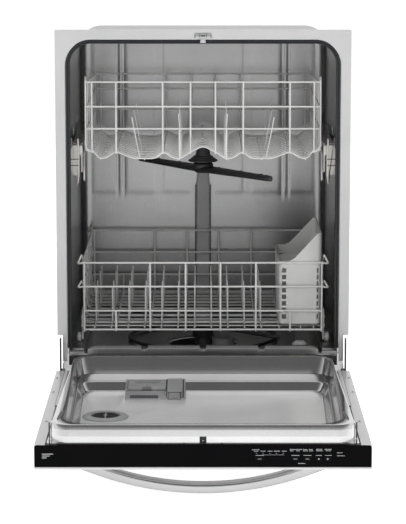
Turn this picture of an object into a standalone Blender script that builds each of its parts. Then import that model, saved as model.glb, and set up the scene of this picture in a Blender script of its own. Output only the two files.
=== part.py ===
"""A built-in dishwasher with its door open and both racks in.

World frame: metres, +Z up, the floor at z = 0, the front facing -Y, X across the width.
Depths are measured from the plane of the cabinet's front flange: back(d) lies inside the
cabinet, out(d) lies in front of it, over the open door.
"""
import math

import bmesh
import bpy
from mathutils import Matrix, Vector

# Cabinet
FRAME_Y = 0.0715                # the front flange's plane
HALF_WIDTH = 0.303
FLANGE_TOP = 0.865
FLANGE_FOOT = 0.2335            # where the wide flange ends above the hinges
FLANGE_LEG_FOOT = 0.178
FLANGE_LEG_X = 0.292
FLANGE_DEPTH = 0.010
RETURN_DEPTH = 0.035            # the flange's folded edges
SHEET = 0.0015
GAP = 0.0003                    # between pieces that touch

# Tub
TUB_X = 0.280                   # inner faces
TUB_TOP = 0.845
TUB_BACK = 0.555
TUB_WALL = 0.002
TUB_FOOT = 0.190
TUB_CORNER = 0.050
TUB_REAR_CORNER = 0.024
MOUTH = 0.0103                  # the tub starts this far behind the flange plane
GASKET_OUTER = (0.2820, 0.8460, 0.0515)     # half width, top, corner radius
GASKET_INNER = (0.2725, 0.8380, 0.0430)
GASKET_FOOT = 0.206
PAN_TOP = 0.1897
PAN_SKIN = 0.003
SILL_TOP = 0.209
SILL_X = 0.240
TRACK_TOP = 0.2043              # the lower rack's wheels roll here inside the tub
TRACK_X = (0.247, 0.2797)
SUMP_BACK = 0.27                # the spray arms and the sump share this vertical axis
SUMP_HOLE_R = 0.078
TOWER_R = 0.016
TOWER_TOP = 0.188

# Base
BASE_X = (0.289, 0.2915)        # the side plates
BASE_FRONT = 0.058
BASE_BACK = 0.545
BASE_FOOT = 0.034
BASE_TOP = 0.1864
BASE_FOLD = 0.0025              # thickness of the side plates' flanges
FOOT_X = 0.270
FEET_BACK = (0.075, 0.525)

# Door, lying open
PIVOT_OUT = 0.0085
PIVOT_Z = 0.1605
PIN_R = 0.004
PIN_BORE_R = 0.0047
DOOR_REACH = 0.700              # the door's upper edge, in front of the flange plane
DOOR_FACE = 0.121               # the stainless outer face, underneath
DOOR_SKIN = 0.0012
DOOR_PLANE = 0.1663             # the liner's flat border
DOOR_TAIL = -0.050              # the outer panel's lower edge, behind the pivot
RIM_TOP = 0.2035                # the rim's two sides carry the rack's wheels
RIM_TOP_NEAR = 0.199
TRAY_FLOOR = 0.150
CONSOLE_FOOT = 0.1257

# Pieces in the tub's floor
ELEMENT_R = 0.160
ELEMENT_TUBE_R = 0.004
ELEMENT_Z = 0.1785
ELEMENT_BACK = 0.4385           # the terminals go down through the pan here
FLOAT_X = 0.203
FLOAT_BACK = 0.060

# Pieces on the door
DISPENSER_X = (-0.155, -0.035)
DISPENSER_OUT = (0.146, 0.246)
COVER_X = (-0.150, -0.074)
COVER_OUT = (0.150, 0.204)
COVER_Z = (0.1600, 0.1690)
FLAP_X = (-0.0685, -0.0456)
FLAP_OUT = (0.2210, 0.2450)
FLAP_HINGE_Z = 0.1594
VENT_X = -0.187
VENT_OUT = 0.400
VENT_R = 0.044
BUTTONS = (
    ("start", (0.2177, 0.2321)),
    ("cancel", (0.2016, 0.2142)),
    ("heat", (0.1792, 0.1953)),
    ("dry", (0.1577, 0.1738)),
    ("cycle", (0.0932, 0.1102)),
)
BUTTON_Z = (0.1350, 0.1460)
BUTTON_FACE = DOOR_REACH - 0.0002
BUTTON_REAR = DOOR_REACH - 0.0042
BUTTON_PLAY = 0.0004
POCKET_REAR = DOOR_REACH - 0.0056
HANDLE_OUT = (0.642, 0.668)
HANDLE_ARCS = ((0.240, 0.0715, 16), (0.160, 0.0880, 12))      # half chord, lowest z, facets

# Racks
WIRE = 0.0045
LOWER_X = 0.253
LOWER_FRONT = 0.052
LOWER_BACK = 0.528
LOWER_LEVELS = (0.2756, 0.327, 0.3775)
LOWER_FLOOR = 0.2400
LOWER_UPRIGHTS = (0.0365, 0.1107, 0.1825)
TINE_STEP = 0.035
TINE_COUNT = 11
TINE_FIRST_X = -0.2275
TINE_TOP = 0.315
TINE_ROWS = (0.12, 0.20, 0.33, 0.41)
WHEEL_R = 0.011
WHEEL_Z = 0.2157
WHEEL_X = (0.2572, 0.2652)
WHEELS_BACK = (0.080, 0.495)
UPPER_X = 0.2443
UPPER_FRONT = 0.052
UPPER_BACK = 0.498
UPPER_LEVELS = (0.659, 0.705, 0.756)
UPPER_UPRIGHTS = (0.026, 0.0835, 0.1803)
WAVE_KNOTS = (                  # half of the upper rack's floor wire: its (x, z) turns
    (0, 0.6230), (0.026, 0.6095), (0.040, 0.5965), (0.062, 0.5965), (0.084, 0.6095), (0.105, 0.5965),
    (0.145, 0.5965), (0.180, 0.6095), (0.211, 0.5965), (0.2315, 0.6105),
)
ROLLER_R = 0.0122
ROLLER_BORE_R = 0.0036
AXLE_R = 0.003
ROLLER_Z = 0.6147
ROLLERS_BACK = (0.290, 0.475)
RAIL_WHEELS_BACK = (0.060, 0.240)
RAIL_X = (0.2500, 0.2715)
RAIL_WEB_X = (0.2605, 0.2618)
RAIL_Z = (0.6005, 0.629)
RAIL_BACK = (0.045, 0.495)

# Spray arms
UPPER_ARM_Z = (0.5462, 0.5562)
UPPER_ARM_REACH = 0.240
UPPER_ARM_TURN = -53.3          # degrees from +X, at rest
LOWER_ARM_Z = (0.2035, 0.2125)
LOWER_ARM_REACH = 0.228
LOWER_ARM_TURN = -45.0
MANIFOLD_Z = 0.5795             # the upper rack's water duct

# Round pieces
SIDES = 16
REAR_STEPS = 3                  # facets round each rear edge of the tub


def back(depth):
    return FRAME_Y + depth


def out(reach):
    return FRAME_Y - reach


def sides():
    """The two hands of a mirrored pair."""
    return (("left", -1), ("right", 1))


# Materials

def material(name, colour, roughness, metallic=0.0):
    made = bpy.data.materials.new(name)
    made.use_nodes = True
    shader = made.node_tree.nodes["Principled BSDF"]
    shader.inputs["Base Color"].default_value = (*colour, 1.0)
    shader.inputs["Roughness"].default_value = roughness
    shader.inputs["Metallic"].default_value = metallic
    return made


def palette():
    return {
        "flange": material("painted_flange", (0.72, 0.72, 0.72), 0.45, 0.3),
        "steel": material("stainless_tub", (0.50, 0.50, 0.50), 0.30, 1.0),
        "skin": material("brushed_stainless", (0.66, 0.66, 0.67), 0.32, 1.0),
        "zinc": material("galvanised_steel", (0.58, 0.59, 0.60), 0.45, 1.0),
        "black_steel": material("black_steel", (0.03, 0.03, 0.03), 0.50, 0.6),
        "rubber": material("seal_rubber", (0.05, 0.05, 0.055), 0.70),
        "gloss": material("console_gloss", (0.006, 0.006, 0.007), 0.12),
        "button": material("button_gloss", (0.02, 0.02, 0.022), 0.25),
        "grey": material("grey_plastic", (0.25, 0.25, 0.26), 0.50),
        "dark": material("dark_plastic", (0.05, 0.05, 0.055), 0.55),
        "beige": material("rail_plastic", (0.62, 0.60, 0.56), 0.50),
        "coat": material("rack_coating", (0.85, 0.85, 0.84), 0.40),
        "basket": material("basket_plastic", (0.78, 0.78, 0.76), 0.50),
        "clear": material("float_plastic", (0.75, 0.76, 0.76), 0.25),
        "chrome": material("strike_chrome", (0.75, 0.75, 0.76), 0.15, 1.0),
        "element": material("element_sheath", (0.16, 0.15, 0.15), 0.50, 0.8),
    }


# Modelling helpers

def add_box(bm, low, high):
    corners = [
        bm.verts.new((x, y, z))
        for x in (low[0], high[0])
        for y in (low[1], high[1])
        for z in (low[2], high[2])
    ]
    for face in ((0, 1, 3, 2), (4, 6, 7, 5), (0, 4, 5, 1), (2, 3, 7, 6), (0, 2, 6, 4), (1, 5, 7, 3)):
        bm.faces.new([corners[i] for i in face])


def add_prism(bm, outline, axis, start, end):
    """Extrudes a closed outline along an axis: outline pairs are the two other axes in order."""
    def place(pair, along):
        a, b = pair
        return {"X": (along, a, b), "Y": (a, along, b), "Z": (a, b, along)}[axis]

    near = [bm.verts.new(place(p, start)) for p in outline]
    far = [bm.verts.new(place(p, end)) for p in outline]
    bm.faces.new(near)
    bm.faces.new(list(reversed(far)))
    count = len(outline)
    for i in range(count):
        j = (i + 1) % count
        bm.faces.new((near[i], far[i], far[j], near[j]))


def add_turned(bm, profile, centre, axis="Z", segments=SIDES):
    """Turns a profile of (radius, height) pairs about an axis through centre.

    A profile that starts and ends on the axis makes a solid, any other makes a ring.
    """
    solid = profile[0][0] == 0 and profile[-1][0] == 0
    rows = []
    for radius, height in profile:
        row = []
        for k in range(1 if radius == 0 else segments):
            angle = 2 * math.pi * k / segments
            a, b = radius * math.cos(angle), radius * math.sin(angle)
            offset = {"X": (height, a, b), "Y": (b, height, a), "Z": (a, b, height)}[axis]
            row.append(bm.verts.new(Vector(centre) + Vector(offset)))
        rows.append(row)
    pairs = list(zip(rows, rows[1:])) if solid else list(zip(rows, rows[1:] + rows[:1]))
    for low, high in pairs:
        for k in range(segments):
            j = (k + 1) % segments
            ring = [low[k % len(low)], low[j % len(low)], high[j % len(high)], high[k % len(high)]]
            face = list(dict.fromkeys(ring))
            if len(face) > 2:
                bm.faces.new(face)


def add_tube(bm, points, radius, corners=6, flat=False):
    """Sweeps a polygon along points; flat turns a square section's sides to the axes."""
    points = [Vector(p) for p in points]
    rows = []
    across = None
    for i, point in enumerate(points):
        ahead = points[min(i + 1, len(points) - 1)] - points[max(i - 1, 0)]
        ahead.normalize()
        if across is None:
            up = Vector((0, 0, 1)) if abs(ahead.z) < 0.9 else Vector((1, 0, 0))
            across = ahead.cross(up).normalized()
        else:
            across = (across - ahead * across.dot(ahead)).normalized()
        other = ahead.cross(across)
        turn = math.pi / corners if flat else 0
        row = []
        for k in range(corners):
            angle = 2 * math.pi * k / corners + turn
            offset = across * math.cos(angle) + other * math.sin(angle)
            row.append(bm.verts.new(point + offset * radius))
        rows.append(row)
    for low, high in zip(rows, rows[1:]):
        for k in range(corners):
            j = (k + 1) % corners
            bm.faces.new((low[k], low[j], high[j], high[k]))
    bm.faces.new(rows[0])
    bm.faces.new(list(reversed(rows[-1])))


def rounded_ring(half_x, y_low, y_high, radius, per_corner=6):
    """A rounded rectangle in plan as (x, y) points, symmetric about x = 0."""
    points = []
    corners = (
        (half_x - radius, y_high - radius, 0),
        (radius - half_x, y_high - radius, 90),
        (radius - half_x, y_low + radius, 180),
        (half_x - radius, y_low + radius, 270),
    )
    for x, y, start in corners:
        for k in range(per_corner):
            angle = math.radians(start + 90 * k / (per_corner - 1))
            points.append((x + radius * math.cos(angle), y + radius * math.sin(angle)))
    return points


def arch(half_x, foot, top, radius, steps=6):
    """An upside-down U as (x, z) points, from its left foot over the top to its right foot."""
    points = [(-half_x, foot)]
    for start, x in ((180, radius - half_x), (90, half_x - radius)):
        for k in range(steps):
            angle = math.radians(start - 90 * k / (steps - 1))
            points.append((x + radius * math.cos(angle), top - radius + radius * math.sin(angle)))
    return points + [(half_x, foot)]


def finish(bm, name, look, origin=(0, 0, 0), parent=None, smooth=False):
    """Turns a bmesh into a named object whose origin lies at a world point."""
    bmesh.ops.recalc_face_normals(bm, faces=bm.faces)
    mesh = bpy.data.meshes.new(name)
    bm.to_mesh(mesh)
    bm.free()
    mesh.transform(Matrix.Translation(-Vector(origin)))
    mesh.materials.append(look)
    if smooth:
        mesh.shade_smooth()
        mesh.set_sharp_from_angle(angle=math.radians(35))
    made = bpy.data.objects.new(name, mesh)
    bpy.context.scene.collection.objects.link(made)
    made.location = origin
    if parent is not None:
        made.parent = parent
        made.matrix_parent_inverse = Matrix.Translation(-parent.location)
    return made


def bake_modifiers(piece):
    """Replaces a piece's mesh with its evaluated one, without the cuts across its flat faces."""
    shaped = bpy.data.meshes.new_from_object(piece.evaluated_get(bpy.context.evaluated_depsgraph_get()))
    piece.modifiers.clear()
    piece.data = shaped
    bm = bmesh.new()
    bm.from_mesh(shaped)
    bmesh.ops.dissolve_limit(bm, angle_limit=0.002, verts=bm.verts, edges=bm.edges)
    bm.to_mesh(shaped)
    bm.free()


def combine(piece, tool_bm, operation, overlapping=False):
    """Applies an exact Boolean with a temporary tool, whose mesh is in world coordinates."""
    bmesh.ops.recalc_face_normals(tool_bm, faces=tool_bm.faces)
    mesh = bpy.data.meshes.new("tool")
    tool_bm.to_mesh(mesh)
    tool_bm.free()
    tool = bpy.data.objects.new("tool", mesh)
    tool.hide_render = True
    tool.display_type = "WIRE"
    bpy.context.scene.collection.objects.link(tool)
    step = piece.modifiers.new("combine", "BOOLEAN")
    step.operation = operation
    step.solver = "EXACT"
    step.use_self = overlapping
    step.object = tool
    bpy.context.view_layer.update()
    bake_modifiers(piece)
    bpy.data.objects.remove(tool)
    return piece


def welded(name, look, add_first, add_rest, **where):
    """One body from overlapping shapes: each add function fills a bmesh."""
    first = bmesh.new()
    add_first(first)
    rest = bmesh.new()
    add_rest(rest)
    return combine(finish(first, name, look, **where), rest, "UNION", overlapping=True)


def from_boxes(name, look, boxes, **where):
    def add_rest(bm):
        for low, high in boxes[1:]:
            add_box(bm, low, high)

    return welded(name, look, lambda bm: add_box(bm, *boxes[0]), add_rest, **where)


def plain_box(name, look, low, high, **where):
    bm = bmesh.new()
    add_box(bm, low, high)
    return finish(bm, name, look, **where)


def turned(name, look, profile, centre, axis="Z", segments=SIDES, **where):
    bm = bmesh.new()
    add_turned(bm, profile, centre, axis, segments)
    return finish(bm, name, look, smooth=True, **where)


def cut_round(piece, radius, centre, axis, start, end, segments=12):
    bm = bmesh.new()
    profile = ((0, start), (radius, start), (radius, end), (0, end))
    add_turned(bm, profile, centre, axis, segments)
    return combine(piece, bm, "DIFFERENCE")


def mirrored_span(span, hand):
    """A span of x on one side of the middle, in rising order."""
    return tuple(sorted((span[0] * hand, span[1] * hand)))


def empty(name, place):
    made = bpy.data.objects.new(name, None)
    made.location = place
    bpy.context.scene.collection.objects.link(made)
    return made


# Cabinet

def tub_block(half_x, foot, top, corner, front, rear, rear_corner):
    """The tub's outer or inner form: arches that draw in at the rear, so its rear edges are round."""
    rows = [(front, 0.0)]
    for k in range(REAR_STEPS + 1):
        angle = math.radians(90 * k / REAR_STEPS)
        inset = rear_corner * (1 - math.cos(angle))
        rows.append((rear - rear_corner + rear_corner * math.sin(angle), inset))
    bm = bmesh.new()
    loops = []
    for y, inset in rows:
        section = arch(half_x - inset, foot, top - inset, corner - inset)
        loops.append([bm.verts.new((x, y, z)) for x, z in section])
    for near, far in zip(loops, loops[1:]):
        for k in range(len(near)):
            j = (k + 1) % len(near)
            bm.faces.new((near[k], near[j], far[j], far[k]))
    bm.faces.new(loops[0])
    bm.faces.new(list(reversed(loops[-1])))
    return bm


def make_tub_shell(looks):
    """The sides, ceiling and back, hollowed by a room that leaves the rail wheels' studs."""
    room = finish(tub_block(
        TUB_X, TUB_FOOT - 0.05, TUB_TOP, TUB_CORNER,
        back(-0.05), back(TUB_BACK), TUB_REAR_CORNER,
    ), "room", looks["steel"])
    studs = bmesh.new()
    tip, head = RAIL_WEB_X[1] + 0.0007, TUB_X + TUB_WALL + 0.001
    stud = ((0, tip), (AXLE_R, tip), (AXLE_R, head), (0, head))
    for hand in (-1, 1):
        for depth in RAIL_WHEELS_BACK:
            profile = [(radius, height * hand) for radius, height in stud]
            add_turned(studs, profile, (0, back(depth), ROLLER_Z), "X", 10)
    combine(room, studs, "DIFFERENCE")
    hollow = bmesh.new()
    hollow.from_mesh(room.data)
    bpy.data.objects.remove(room)
    shell = finish(tub_block(
        TUB_X + TUB_WALL, TUB_FOOT, TUB_TOP + TUB_WALL, TUB_CORNER + TUB_WALL,
        back(MOUTH), back(TUB_BACK + TUB_WALL), TUB_REAR_CORNER + TUB_WALL,
    ), "tub_shell", looks["steel"])
    return combine(shell, hollow, "DIFFERENCE")


def make_tub_bottom(looks):
    """The pan under the tub: a basin sloping to the sump, the sill and the wheel tracks."""
    steps = (
        (TUB_X + TUB_WALL, MOUTH, TUB_BACK + TUB_WALL, 0.020, PAN_TOP),
        (0.232, 0.090, 0.530, 0.060, PAN_TOP),
        (0.200, 0.112, 0.505, 0.060, 0.172),
        (SUMP_HOLE_R, SUMP_BACK - SUMP_HOLE_R, SUMP_BACK + SUMP_HOLE_R, SUMP_HOLE_R, 0.166),
    )
    rows = []
    bm = bmesh.new()
    for drop, order in ((0, steps), (PAN_SKIN, reversed(steps))):
        for half_x, front, rear, radius, height in order:
            ring = rounded_ring(half_x, back(front), back(rear), radius)
            rows.append([bm.verts.new((x, y, height - drop)) for x, y in ring])
    for low, high in zip(rows, rows[1:] + rows[:1]):
        for k in range(len(low)):
            j = (k + 1) % len(low)
            bm.faces.new((low[k], low[j], high[j], high[k]))
    pan = finish(bm, "tub_bottom", looks["steel"])
    raised = bmesh.new()
    add_box(raised, (-SILL_X, back(0.0045), 0.1875), (SILL_X, back(0.0225), SILL_TOP))
    for hand in (-1, 1):
        x0, x1 = mirrored_span(TRACK_X, hand)
        add_box(raised, (x0, back(MOUTH + 0.0005), 0.1880), (x1, back(0.520), TRACK_TOP))
    combine(pan, raised, "UNION")
    for x, depth, radius in ((FLOAT_X, FLOAT_BACK, 0.0055), (-0.020, ELEMENT_BACK, 0.0062),
                             (0.020, ELEMENT_BACK, 0.0062)):
        cut_round(pan, radius, (x, back(depth), 0), "Z", 0.14, 0.195, 10)
    return pan


def make_front_flange(looks):
    """The painted frame around the tub's mouth, with folded side and top edges."""
    half, top, radius = GASKET_OUTER
    inner = arch(half + GAP * 2, FLANGE_LEG_FOOT, top + GAP * 2, radius + GAP * 2)
    outline = [
        (-FLANGE_LEG_X, FLANGE_LEG_FOOT), (-FLANGE_LEG_X, FLANGE_FOOT), (-HALF_WIDTH, FLANGE_FOOT),
        (-HALF_WIDTH, FLANGE_TOP), (HALF_WIDTH, FLANGE_TOP), (HALF_WIDTH, FLANGE_FOOT),
        (FLANGE_LEG_X, FLANGE_FOOT), (FLANGE_LEG_X, FLANGE_LEG_FOOT),
    ] + list(reversed(inner))
    bm = bmesh.new()
    add_prism(bm, outline, "Y", back(0), back(FLANGE_DEPTH))
    flange = finish(bm, "front_flange", looks["flange"])
    folds = bmesh.new()
    for hand in (-1, 1):
        x0, x1 = mirrored_span((HALF_WIDTH - SHEET, HALF_WIDTH), hand)
        add_box(folds, (x0, back(FLANGE_DEPTH - 0.001), FLANGE_FOOT), (x1, back(RETURN_DEPTH), FLANGE_TOP))
    add_box(folds, (-HALF_WIDTH, back(FLANGE_DEPTH - 0.001), FLANGE_TOP - SHEET),
            (HALF_WIDTH, back(RETURN_DEPTH), FLANGE_TOP))
    return combine(flange, folds, "UNION", overlapping=True)


def make_gasket(looks):
    half, top, radius = GASKET_OUTER
    outer = arch(half, GASKET_FOOT, top, radius)
    half, top, radius = GASKET_INNER
    inner = arch(half, GASKET_FOOT, top, radius)
    bm = bmesh.new()
    add_prism(bm, outer + list(reversed(inner)), "Y", back(GAP), back(FLANGE_DEPTH))
    return finish(bm, "door_gasket", looks["rubber"])


def make_strike(looks):
    """The plate over the opening that the door's latch grips."""
    front, rear = out(0.0023), out(GAP)
    boxes = (
        ((-0.017, front, 0.8480), (0.017, rear, 0.8600)),
        ((-0.0055, front, 0.8395), (0.0055, rear, 0.8485)),
    )
    return from_boxes("strike_plate", looks["chrome"], boxes)


def make_base(looks):
    """Two side plates with flanges and hinge ears, joined by two cross members."""
    front, rear = back(BASE_FRONT), back(BASE_BACK)
    boxes = [
        ((-BASE_X[1], back(0.060), BASE_FOOT), (BASE_X[1], back(0.085), 0.050)),
        ((-BASE_X[1], back(0.520), BASE_FOOT), (BASE_X[1], rear, 0.050)),
    ]
    for hand in (-1, 1):
        plate = mirrored_span(BASE_X, hand)
        top_flange = mirrored_span((0.265, BASE_X[1]), hand)
        foot_flange = mirrored_span((0.250, BASE_X[1]), hand)
        spring_tab = mirrored_span((0.262, BASE_X[1]), hand)
        boxes += [
            ((plate[0], front, BASE_FOOT), (plate[1], rear, BASE_TOP)),
            ((plate[0], out(0.018), 0.150), (plate[1], back(BASE_FRONT + 0.01), 0.175)),
            ((top_flange[0], front, BASE_TOP - BASE_FOLD), (top_flange[1], rear, BASE_TOP)),
            ((foot_flange[0], front, BASE_FOOT), (foot_flange[1], rear, BASE_FOOT + BASE_FOLD)),
            ((spring_tab[0], back(0.505), 0.048), (spring_tab[1], back(0.508), 0.075)),
        ]
    base = from_boxes("base_frame", looks["zinc"], boxes)
    for hand in (-1, 1):
        start, end = mirrored_span((BASE_X[0] - 0.002, BASE_X[1] + 0.002), hand)
        cut_round(base, PIN_BORE_R, (0, out(PIVOT_OUT), PIVOT_Z), "X", start, end)
    return base


def make_toe_kick(looks):
    boxes = (
        ((-0.300, back(0.0550), 0.004), (0.300, back(0.0570), 0.086)),
        ((-0.280, back(0.0565), 0.0845), (0.280, back(0.0640), 0.086)),
    )
    return from_boxes("toe_kick", looks["black_steel"], boxes)


def make_feet(looks):
    profile = ((0, 0), (0.018, 0), (0.018, 0.005), (0.009, 0.010), (0.009, 0.016), (0.005, 0.016),
               (0.005, BASE_FOOT - GAP), (0, BASE_FOOT - GAP))
    for place, depth in zip(("front", "rear"), FEET_BACK):
        for side, hand in sides():
            name = f"leveling_foot_{place}_{side}"
            turned(name, looks["dark"], profile, (hand * FOOT_X, back(depth), 0), segments=10)


def make_sump(looks):
    """A round well under the basin with the lower arm's outlet tower in its middle."""
    profile = (
        (0, 0.100), (0.0755, 0.100), (0.0755, 0.1590), (0.088, 0.1590), (0.088, 0.1626),
        (0.072, 0.1626), (0.072, 0.104), (TOWER_R, 0.104), (TOWER_R, TOWER_TOP), (0, TOWER_TOP),
    )
    turned("sump", looks["dark"], profile, (0, back(SUMP_BACK), 0), segments=20)


def make_filter(looks):
    """A cup-shaped filter that lifts out of the sump."""
    profile = ((0, 0.1045), (0.0245, 0.1045), (0.0245, 0.176), (0.0225, 0.178), (0.019, 0.178),
               (0.019, 0.150), (0, 0.150))
    turned("filter", looks["grey"], profile, (0.0445, back(SUMP_BACK), 0), segments=14)


def make_circulation_pump(looks):
    profile = ((0, 0.3480), (0.045, 0.3480), (0.045, 0.374), (0.036, 0.379), (0.036, 0.452),
               (0.030, 0.460), (0, 0.460))
    turned("circulation_pump", looks["dark"], profile, (0, back(0), 0.112), "Y", 16)


def make_drain_pump(looks):
    profile = ((0, 0.078), (0.026, 0.078), (0.026, 0.094), (0.020, 0.097), (0.020, 0.140), (0, 0.140))
    turned("drain_pump", looks["grey"], profile, (0, back(SUMP_BACK), 0.125), "X", 14)


def make_inlet_valve(looks):
    """A solenoid valve on the rear cross member, with its threaded water port down."""
    def body(bm):
        add_box(bm, (-0.235, back(0.500), 0.0600), (-0.195, back(0.540), 0.092))

    def fittings(bm):
        port = ((0, 0.0510), (0.0105, 0.0510), (0.0105, 0.065), (0, 0.065))
        coil = ((0, 0.085), (0.014, 0.085), (0.014, 0.118), (0, 0.118))
        for profile in (port, coil):
            add_turned(bm, profile, (-0.215, back(0.508), 0), "Z", 12)

    welded("inlet_valve", looks["basket"], body, fittings)


def make_heating_element(looks):
    """A loop around the sump whose two ends turn down through the pan."""
    gap = math.asin(0.020 / ELEMENT_R)
    centre = back(ELEMENT_BACK) - ELEMENT_R * math.cos(gap)
    points = [(0.020, back(ELEMENT_BACK), 0.152), (0.020, back(ELEMENT_BACK), 0.1735)]
    count = 24
    for k in range(count + 1):
        angle = gap + (2 * math.pi - 2 * gap) * k / count
        points.append((ELEMENT_R * math.sin(angle), centre + ELEMENT_R * math.cos(angle), ELEMENT_Z))
    points += [(-0.020, back(ELEMENT_BACK), 0.1735), (-0.020, back(ELEMENT_BACK), 0.152)]
    bm = bmesh.new()
    add_tube(bm, points, ELEMENT_TUBE_R, 6)
    finish(bm, "heating_element", looks["element"], smooth=True)


def make_feed_tube(looks):
    """The flat water duct from the sump along the floor and up the back wall to its dock."""
    rear = back(TUB_BACK - GAP)
    half = 0.016

    def riser(bm):
        add_box(bm, (-half, back(0.5395), 0.1902), (half, rear, 0.598))

    def rest(bm):
        add_box(bm, (-half, back(0.350), 0.1902), (half, rear - 0.002, 0.2012))
        add_box(bm, (-half, back(0.350), 0.1720), (half, back(0.372), 0.2000))
        dock = ((0, 0.5287), (0.0125, 0.5287), (0.0125, 0.545), (0, 0.545))
        add_turned(bm, dock, (0, back(0), MANIFOLD_Z), "Y", 12)

    welded("feed_tube", looks["grey"], riser, rest)


def make_junction_box(looks):
    """The electrical box behind the toe kick, with the round entry for a supply cable."""
    low, high = (0.165, back(0.0885), 0.0503), (0.245, back(0.138), 0.098)
    box = plain_box("junction_box", looks["zinc"], low, high)
    room = bmesh.new()
    add_box(room, (0.167, back(0.0905), 0.0523), (0.243, back(0.136), 0.096))
    combine(box, room, "DIFFERENCE")
    return cut_round(box, 0.011, (0.205, back(0), 0.074), "Y", 0.130, 0.142)


def make_door_springs(looks):
    """A tension spring along each side of the base, hooked on its tab."""
    for side, hand in sides():
        x = hand * 0.272
        profile = ((0, 0.130), (0.002, 0.130), (0.002, 0.160), (0.008, 0.163), (0.008, 0.400),
                   (0.002, 0.403), (0.002, 0.5047), (0, 0.5047))
        turned(f"door_spring_{side}", looks["zinc"], profile, (x, back(0), 0.0615), "Y", 10)


def make_float(looks):
    """A hollow dome on a stem that rises with the water level."""
    profile = ((0, 0.1560), (0.0035, 0.1560), (0.0035, 0.204), (0.0125, 0.204), (0.0125, 0.195),
               (0.016, 0.195), (0.016, 0.203), (0.012, 0.209), (0.005, 0.211), (0, 0.211))
    turned("float", looks["clear"], profile, (0, 0, 0), segments=14, origin=(0, 0, 0)).location = (
        FLOAT_X, back(FLOAT_BACK), 0)


# Door

def make_outer_panel(looks, axis):
    """The stainless front with folded sides, lying face down."""
    inner = HALF_WIDTH - DOOR_SKIN
    lip = 0.284
    top = 0.166
    outline = [
        (-HALF_WIDTH, top), (-HALF_WIDTH, DOOR_FACE), (HALF_WIDTH, DOOR_FACE), (HALF_WIDTH, top),
        (lip, top), (lip, top - DOOR_SKIN), (inner, top - DOOR_SKIN), (inner, DOOR_FACE + DOOR_SKIN),
        (-inner, DOOR_FACE + DOOR_SKIN), (-inner, top - DOOR_SKIN), (-lip, top - DOOR_SKIN), (-lip, top),
    ]
    bm = bmesh.new()
    add_prism(bm, outline, "Y", out(DOOR_REACH - 0.0015), out(0.038))
    panel = finish(bm, "door_outer_panel", looks["skin"], origin=axis.location, parent=axis)
    more = bmesh.new()
    add_box(more, (-HALF_WIDTH, out(0.040), DOOR_FACE), (HALF_WIDTH, out(DOOR_TAIL), DOOR_FACE + DOOR_SKIN))
    add_box(more, (-HALF_WIDTH, out(DOOR_REACH), DOOR_FACE),
            (HALF_WIDTH, out(DOOR_REACH - 0.0020), CONSOLE_FOOT - GAP))
    return combine(panel, more, "UNION", overlapping=True)


def make_liner(looks, axis):
    """The pressed stainless inner door: a border, a raised rim and a two-level tray."""
    steps = (
        (0.2815, 0.0410, 0.6880, 0.004, DOOR_PLANE),
        (0.2680, 0.0620, 0.6820, 0.050, DOOR_PLANE),
        (0.2670, 0.0630, 0.6812, 0.049, RIM_TOP),
        (0.2525, 0.0750, 0.6720, 0.040, RIM_TOP),
        (0.2450, 0.0880, 0.6640, 0.050, 0.170),
        (0.2410, 0.1600, 0.6500, 0.030, 0.170),
        (0.2355, 0.1680, 0.6440, 0.026, TRAY_FLOOR),
    )
    bm = bmesh.new()
    rows = []
    for half_x, near_hinge, near_top, radius, height in steps:
        row = []
        for x, y in rounded_ring(half_x, out(near_top), out(near_hinge), radius):
            low_end = height == RIM_TOP and y < out(0.62)
            row.append(bm.verts.new((x, y, RIM_TOP_NEAR if low_end else height)))
        rows.append(row)
    for low, high in zip(rows, rows[1:]):
        for k in range(len(low)):
            j = (k + 1) % len(low)
            bm.faces.new((low[k], low[j], high[j], high[k]))
    bm.faces.new(rows[-1])
    liner = finish(bm, "door_liner", looks["steel"], origin=axis.location, parent=axis)
    thick = liner.modifiers.new("sheet", "SOLIDIFY")
    thick.thickness = DOOR_SKIN
    thick.offset = -1
    thick.use_even_offset = True
    bpy.context.view_layer.update()
    bake_modifiers(liner)
    hole = bmesh.new()
    add_box(hole, (DISPENSER_X[0] - GAP, out(DISPENSER_OUT[1] + GAP), 0.14),
            (DISPENSER_X[1] + GAP, out(DISPENSER_OUT[0] - GAP), 0.19))
    combine(liner, hole, "DIFFERENCE")
    return cut_round(liner, 0.026, (VENT_X, out(VENT_OUT), 0), "Z", 0.14, 0.16, 16)


def make_console(looks, axis):
    """The black control panel along the door's upper edge, with a pocket for each button."""
    boxes = (
        ((-HALF_WIDTH, out(DOOR_REACH), CONSOLE_FOOT), (HALF_WIDTH, out(DOOR_REACH - 0.0012), 0.166)),
        ((-0.3013, out(DOOR_REACH - 0.0010), CONSOLE_FOOT), (0.3013, out(0.672), 0.1645)),
        ((-0.2836, out(DOOR_REACH - 0.0010), 0.160), (0.2836, out(0.6884), 0.166)),
    )
    console = from_boxes("console", looks["gloss"], boxes, origin=axis.location, parent=axis)
    pockets = bmesh.new()
    for _, (x0, x1) in BUTTONS:
        add_box(pockets, (x0, out(DOOR_REACH + 0.001), BUTTON_Z[0]), (x1, out(POCKET_REAR), BUTTON_Z[1]))
    return combine(console, pockets, "DIFFERENCE")


def make_buttons(looks):
    for name, (x0, x1) in BUTTONS:
        low = (x0 + BUTTON_PLAY, out(BUTTON_FACE), BUTTON_Z[0] + BUTTON_PLAY)
        high = (x1 - BUTTON_PLAY, out(BUTTON_REAR), BUTTON_Z[1] - BUTTON_PLAY)
        origin = ((x0 + x1) / 2, out(BUTTON_FACE), sum(BUTTON_Z) / 2)
        plain_box(f"button_{name}", looks["button"], low, high, origin=origin)


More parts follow.
